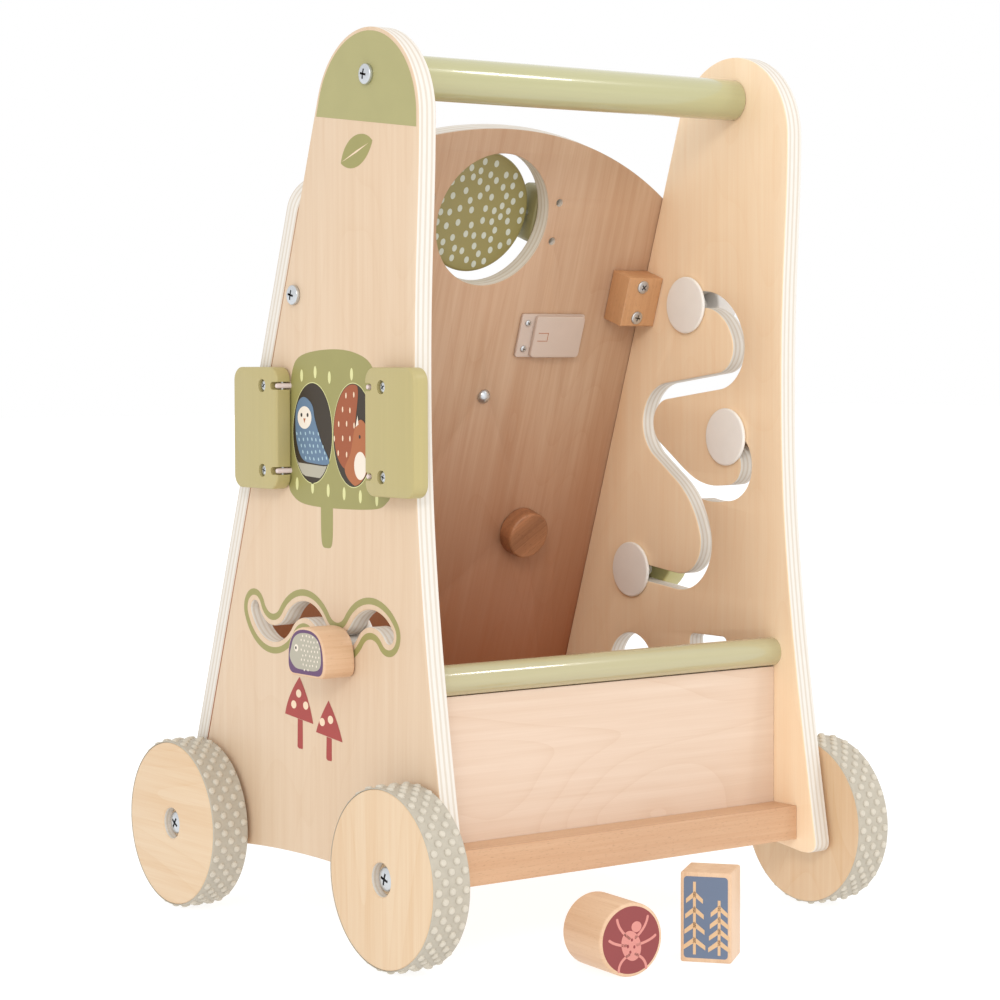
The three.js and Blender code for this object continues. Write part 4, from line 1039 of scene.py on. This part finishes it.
def add_corner_blocks():
    block = CORNER_BLOCK
    width = INNER_X - GAP - block["inner_x"]
    screw = screw_mesh("corner_screw", 4.2, 1.6, 1.5, 1.0, 0.4)
    for side, label in SIDES:
        outline = rounded_rectangle((0, 0), width, block["height"], 0.6, 3)
        mesh = plate_mesh(f"corner_stock_{label}", [outline], GAP, block["depth"], 0.8)
        place = front_place(side * (block["inner_x"] + width / 2), block["s"])
        add(f"corner_stock_{label}", mesh, place, "beech_upright", ROOT, (f"corner_block_{label}",))
        for i, up in enumerate((0.5, -0.5), 1):
            s = block["s"] + up * CORNER_SCREWS["pitch"]
            spot = front_place(side * CORNER_SCREWS["x"], s, block["depth"])
            add_screw(f"corner_head_{label}_{i}", screw, spot, 10 + 35 * i, f"corner_screw_{label}_{i}")


def add_clicker():
    """Frosted housing with a screwed flange on its left and a small tongue in its face."""
    c = CLICKER
    left, flange_top = -c["width"] / 2, 2.2
    place = front_place(c["x"], c["s"])
    base = rounded_rectangle((0, 0), c["width"], c["height"], 1.6, 5)
    flange = plate_mesh("clicker_flange", [base], GAP, flange_top, 0.4)
    add("clicker_flange", flange, place, "clicker", ROOT, ("clicker_plate",))
    width = c["width"] - c["flange"] - 1.5
    raised = rounded_rectangle((left + c["flange"] + width / 2, 0), width, c["height"] - 1.2, 2.4, 5)
    housing = plate_mesh("clicker_housing", [raised], flange_top, c["thickness"], 0.6)
    add("clicker_housing", housing, place, "clicker", ROOT)
    tongue = [rectangle(left + 13, left + 21, y - 0.2, y + 0.2) for y in (2.6, -2.6)]
    tongue.append(rectangle(left + 20.6, left + 21, -2.4, 2.4))
    printed_marks("clicker_tongue", tongue, front_place(c["x"], c["s"], c["thickness"]), "brown")
    screw = screw_mesh("clicker_screw", 2.1, 1.2, 1.0, 0.5)
    for i, up in enumerate((8.5, -8.5), 1):
        spot = front_place(c["x"] + left + 5, c["s"] + up, flange_top)
        add_screw(f"clicker_head_{i}", screw, spot, 40 * i, f"clicker_screw_{i}")


def scattered_places(count, spacing, reach):
    """Random places on a disc that keep their distance from each other."""
    spots = []
    while len(spots) < count:
        angle, distance = random.uniform(0, 2 * math.pi), reach * math.sqrt(random.random())
        spot = (distance * math.cos(angle), distance * math.sin(angle))
        if all(math.dist(spot, other) > spacing for other in spots):
            spots.append(spot)
    return spots


def add_flip_disc():
    """The painted disc that flips behind the round window, with its dots and its two brackets."""
    radius, half = FLIP_DISC["radius"], FLIP_DISC["thickness"] / 2
    place = front_place(0, FLIP_HOLE["s"], -FLIP_DISC["offset"])
    disc = turned_mesh("flip_board", rod_profile(radius, -half, half, 2.0), 96)
    add("flip_board", disc, place, "flip", "flip_wheel", ("flip_disc",))
    marks = [oval(spot, 1.75, 2.2, 20) for spot in scattered_places(66, 6.2, radius - 4.5)]
    for label, towards in (("back", 1), ("front", -1)):
        face = place @ Matrix.Translation((0, 0, towards * half * MM))
        printed_marks(f"flip_dots_{label}", marks, face, "dot", 0, towards, "flip_wheel")
    width = BRACKET["outer_x"] - BRACKET["inner_x"]
    for side, label in SIDES:
        centre = ((BRACKET["inner_x"] + BRACKET["outer_x"]) / 2 * side, FLIP_HOLE["s"])
        outline = rounded_rectangle(centre, width, BRACKET["height"], 4)
        mesh = plate_mesh(f"flip_holder_{label}", [outline], -PLY - BRACKET["thickness"], -PLY - GAP, 1.2)
        add(f"flip_holder_{label}", mesh, front_place(), "holder", ROOT,
            (f"flip_bracket_{label}",))


def cap_profile(gear_front, fixing):
    """The cap that holds a gear on its shaft, with a sloping rim."""
    radius, foot = fixing["cap_radius"], gear_front - GEARS["cap"]
    return [(0, foot), (radius - fixing["cap_slope"], foot), (radius, foot + GEARS["cap"] / 2),
            (radius, gear_front), (fixing["shaft_radius"], gear_front)]


def add_gear_fixings():
    """The round-head bolt of the upper gear and the knob that turns the lower one."""
    gear_front = -PLY - GEARS["clear"] - GEARS["thickness"] - GAP
    bolt, rise = GEAR_BOLT, GEAR_BOLT["head_height"]
    head = [(bolt["head_radius"] * x, GAP + rise * y) for x, y in arc((0, 0), 1, 0, 80, 8)]
    profile = [*cap_profile(gear_front, bolt), (bolt["shaft_radius"], GAP), *head, (0, GAP + rise)]
    add("gear_pin", turned_mesh("gear_pin", profile, 48), front_place(*UPPER_GEAR), "zinc", ROOT,
        ("gear_bolt",))
    knob, corner = TURN_KNOB, TURN_KNOB["corner"]
    rim = arc((knob["radius"] - corner, knob["length"] - corner), corner, 0, 90, 6)
    grip = [(knob["shaft_radius"], knob["clear"]), (knob["radius"], knob["clear"]), *rim, (0, knob["length"])]
    mesh = turned_mesh("knob_grip", [*cap_profile(gear_front, knob), *grip], 64)
    place = front_place(*LOWER_GEAR) @ Matrix.Rotation(math.radians(38), 4, "Z")
    add("knob_grip", mesh, place, "knob_beech", "lower_gear", ("turn_knob",))


# ---------------------------------------------------------------- bars, wheels, blocks
def add_bars():
    for name, node, looks in (("grip_bar", "handle_bar", "bar"), ("low_rail", "rear_rail", "rail")):
        centre, extent = middle(node), size(node)
        mesh = turned_mesh(name, rod_profile(extent.z / 2, -extent.x / 2, extent.x / 2, 0.6), 72)
        place = Matrix.Translation(centre) @ Matrix.Rotation(math.pi / 2, 4, "Y")
        add(name, mesh, place, looks, ROOT, (node,))


def wheel_mesh():
    """The turned plywood disc along +Z, its outer face on top, with a recess for the bolt."""
    bore, boss, boss_foot = 4.3, 11.0, -2.1
    hub, floor = HUB_RECESS["radius"], WHEEL_WIDTH - HUB_RECESS["depth"]
    rim = arc((RIM_RADIUS - 1, WHEEL_WIDTH - 1), 1, 0, 90, 5)
    profile = [(bore, boss_foot), (boss, boss_foot), (boss, 0), (RIM_RADIUS, 0), *rim,
               (hub + 0.7, WHEEL_WIDTH), (hub, WHEEL_WIDTH - 0.7), (hub, floor), (bore, floor),
               (bore, boss_foot)]
    return turned_mesh("wheel_ply", profile, 128)


def tyre_mesh():
    """A rubber band with five staggered rows of studs."""
    rows, studs, pitch = 5, 30, 4.55
    bm = bmesh.new()
    inner, outer, top = RIM_RADIUS + 0.05, TYRE_BAND_RADIUS, WHEEL_WIDTH
    band = [(inner, 0.2), (outer - 0.5, 0.0), (outer, 0.5), (outer, top - 0.5), (outer - 0.5, top),
            (inner, top - 0.2), (inner, 0.2)]
    turn_into(bm, band, 144)
    proud = TYRE_RADIUS - TYRE_BAND_RADIUS
    stud = [(0, -0.3), (2.4, -0.3), (2.15, proud * 0.35), (1.65, proud * 0.78), (0.9, proud * 0.96),
            (0, proud)]
    for row in range(rows):
        height = WHEEL_WIDTH / 2 + (row - 2) * pitch
        for k in range(studs):
            angle = 2 * math.pi * (k + (row % 2) / 2) / studs
            outwards = Vector((math.cos(angle), math.sin(angle), 0))
            foot = outwards * TYRE_BAND_RADIUS + Vector((0, 0, height))
            place = axes((0, 0, 1), outwards.cross(Vector((0, 0, 1))), foot)
            turn_into(bm, stud, 14, place)
    return close_mesh(bm, "studded_tyre")


def add_wheels():
    """Four wheels; the grain of the rear ones is turned a quarter against the front ones."""
    tyre, disc = tyre_mesh(), wheel_mesh()

    def on_a_stud(spot):
        return math.hypot(spot.x, spot.y) > (TYRE_BAND_RADIUS + 0.15) * MM

    for side, side_label in SIDES:
        for end, end_label in ENDS:
            label = f"{end_label}_{side_label}"
            turn = Matrix.Rotation(math.radians(45 - 45 * end), 4, "Z")
            place = facing(side, WHEEL_X, end * AXLE_Y, TYRE_RADIUS) @ turn
            body = f"wheel_{label}"
            add(f"wheel_ply_{label}", disc, place, "wheel_ply", body,
                (f"wheel_disc_{label}",), "wheel_edge")
            piece = add(f"studded_tyre_{label}", tyre, place, "rubber", body, (f"tyre_{label}",))
            # The studs take the lighter rubber, a painted highlight.
            second_look(piece, "stud", on_a_stud)


def add_round_block():
    """The loose barrel, lying down, with a beetle printed on its end."""
    b, body = ROUND_BLOCK, "loose_round_block"
    turn = Matrix.Rotation(math.radians(b["turn"]), 4, "Z") @ Matrix.Rotation(math.pi / 2, 4, "X")
    place = Matrix.Translation((b["x"] * MM, SHIFT_Y + b["y"] * MM, b["radius"] * MM)) @ turn
    half = b["length"] / 2
    barrel = turned_mesh("barrel", rod_profile(b["radius"], -half, half, 1.5), 80)
    add("barrel", barrel, place, "beech", body, ("round_block",))
    end = place @ Matrix.Translation((0, 0, half * MM))
    printed("barrel_field", [oval((0, 0), 18.6, steps=64)], end, "wine", body=body)
    beetle = [oval((0, -3.2), 6.2, 8.6, 32, 18), oval((3.4, 7.0), 3.3, 3.0, 20)]
    legs = (((2, 2), (9, 7), (10, 13)), ((3, -2), (11, -1), (15, 2)), ((2, -7), (9, -10), (9, -15.5)))
    for side in (-1, 1):
        for leg in legs:
            line = bezier(*((side * x + 0.8, y - 1) for x, y in leg), steps=8)
            beetle.append(slot_outline(line, 1.5, 6)[::-1])
    printed_marks("barrel_beetle", beetle, end, "pink", 1, 1, body)
    spots = [oval(p, 0.7, 0.9, 10) for p in ((0.4, 0), (2, -4), (-2.2, -3.4), (-0.6, -6.6))]
    printed_marks("barrel_beetle_spots", spots, end, "wine", 2, 1, body)


def fir_tree(x, foot, height, rows):
    """A fir as a trunk line and pairs of drooping branches."""
    marks = [rectangle(x - 0.8, x + 0.8, foot, foot + height)]
    for k in range(rows):
        y = foot + height * (0.1 + 0.84 * k / rows)
        reach = 6.2 * (1 - 0.3 * k / rows)
        for side in (-1, 1):
            tip = (x + side * reach, y - reach * 0.25)
            branch = [(x, y + 2.6), tip, (tip[0], tip[1] + 2.6), (x, y + 5.8)]
            marks.append(branch if side < 0 else branch[::-1])
    return marks


def add_square_block():
    """The loose square block, standing, with firs printed on two opposite sides."""
    b, body = SQUARE_BLOCK, "loose_square_block"
    half, height = b["width"] / 2, b["height"]
    turn = Matrix.Rotation(math.radians(b["turn"]), 4, "Z")
    place = Matrix.Translation((b["x"] * MM, SHIFT_Y + b["y"] * MM, 0)) @ turn
    outline = rounded_rectangle((0, 0), b["width"], b["width"], 1.5, 5)
    mesh = plate_mesh("tall_block", [outline], 0, height, 1.2)
    add("tall_block", mesh, place, "beech", body, ("square_block",))
    field = rounded_rectangle((0, 0), b["width"] - 4, height - 5, 2)
    firs = fir_tree(-6.4, -21, 41, 4) + fir_tree(7.6, -21, 31, 4)
    for label, half_turn in (("near", 0), ("far", math.pi)):
        side = Matrix.Rotation(half_turn, 4, "Z")
        face = place @ side @ axes((1, 0, 0), (0, 0, 1), (0, -half * MM, height / 2 * MM))
        printed(f"tall_block_field_{label}", [field], face, "slate", body=body)
        printed_marks(f"tall_block_firs_{label}", firs, face, "sand", 1, 1, body)


def finish_kept_nodes():
    """Finishes of the CAD nodes that are shown as they are."""
    keep("rear_low_panel", "cross_ply", 1.0)
    keep("tray_floor", "cross_ply", 1.0)
    keep("bottom_strip", "beech_cross", 1.0)
    keep("gear_upper", "olive", 0.5)
    keep("gear_lower", "beech_cross", 0.5)
    for node in ("flip_axle", "flap_hinge_pin_front", "flap_hinge_pin_rear"):
        keep(node, "zinc")


# ---------------------------------------------------------------- stage
def add_floor():
    bm = bmesh.new()
    reach = 12.0
    bm.faces.new([bm.verts.new((x, y, 0)) for x, y in rectangle(-reach, reach, -reach, reach)])
    mesh = bpy.data.meshes.new("floor")
    bm.to_mesh(mesh)
    bm.free()
    floor = bpy.data.objects.new("floor", mesh)
    bpy.context.scene.collection.objects.link(floor)
    shader = Shader("pale_floor", Roughness=0.9, Emission_Color=(1, 1, 1, 1), Emission_Strength=0.82)
    tone = shader.mix(shader.noise((3, 3, 3), 2), (0.3, 0.3, 0.3, 1), (0.27, 0.27, 0.27, 1))
    shader.feed(shader.surface, "Base Color", tone)
    mesh.materials.append(shader.material)


def add_light(name, place, target, power, width, tone):
    lamp = bpy.data.lights.new(name, "AREA")
    lamp.shape = "DISK"
    lamp.size = width
    lamp.energy = power
    lamp.color = tone
    holder = bpy.data.objects.new(name, lamp)
    holder.location = place
    holder.rotation_euler = (Vector(target) - Vector(place)).to_track_quat("-Z", "Y").to_euler()
    bpy.context.scene.collection.objects.link(holder)


def add_studio():
    world = bpy.data.worlds.new("studio")
    world.use_nodes = True
    background = world.node_tree.nodes["Background"]
    background.inputs["Color"].default_value = (1, 1, 1, 1)
    background.inputs["Strength"].default_value = 1.0
    bpy.context.scene.world = world
    centre = (0, 0, 0.25)
    add_light("key", (-1.9, -2.1, 1.6), centre, 20, 0.8, (1.0, 0.98, 0.95))
    add_light("fill", (-0.4, -3.0, 0.7), centre, 5, 1.4, (1.0, 0.98, 0.95))
    add_light("glint", (1.4, -1.7, 1.9), centre, 9, 0.45, (1.0, 0.99, 0.98))
    bpy.context.scene.view_settings.view_transform = "Standard"


def add_camera():
    """The camera stands behind the child's left shoulder."""
    azimuth, pitch, roll = (math.radians(a) for a in (-36.79, 2.807, -0.128))
    level = math.cos(pitch)
    back = Vector((math.sin(azimuth) * level, -math.cos(azimuth) * level, math.sin(pitch)))
    right = (-back).cross(Vector((0, 0, 1))).normalized()
    up = back.cross(right)
    rolled_right = right * math.cos(roll) + up * math.sin(roll)
    camera = bpy.data.objects.new("camera", bpy.data.cameras.new("camera"))
    camera.matrix_world = axes(rolled_right, back.cross(rolled_right), (-1.0024, -1.3113, 0.3397))
    camera.data.sensor_width = 36
    camera.data.lens = 97.61
    camera.data.shift_x = 0.0033
    camera.data.shift_y = -0.0120
    bpy.context.scene.collection.objects.link(camera)
    bpy.context.scene.camera = camera


add_camera()
add_studio()
add_floor()
add_side_panels()
add_cap_paint()
add_small_leaf()
add_side_bolts()
add_tree()
add_flap("front")
add_flap("rear")
add_hinge_posts()
add_wave_band()
add_wave_knob()
add_mushroom("tall", (8.7, 150.5), (24.7, 127.2), (-5.8, 124.2), 108,
             ((9.6, 140.6), (15, 133.6), (2, 134.2)))
add_mushroom("short", (-22.3, 139.6), (-8.9, 119.8), (-36.7, 116.8), 104.5,
             ((-15.6, 126.4), (-24.4, 128.6)))
add_sliders()
add_front_panel()
add_corner_blocks()
add_clicker()
add_flip_disc()
add_gear_fixings()
add_bars()
add_wheels()
add_round_block()
add_square_block()
finish_kept_nodes()
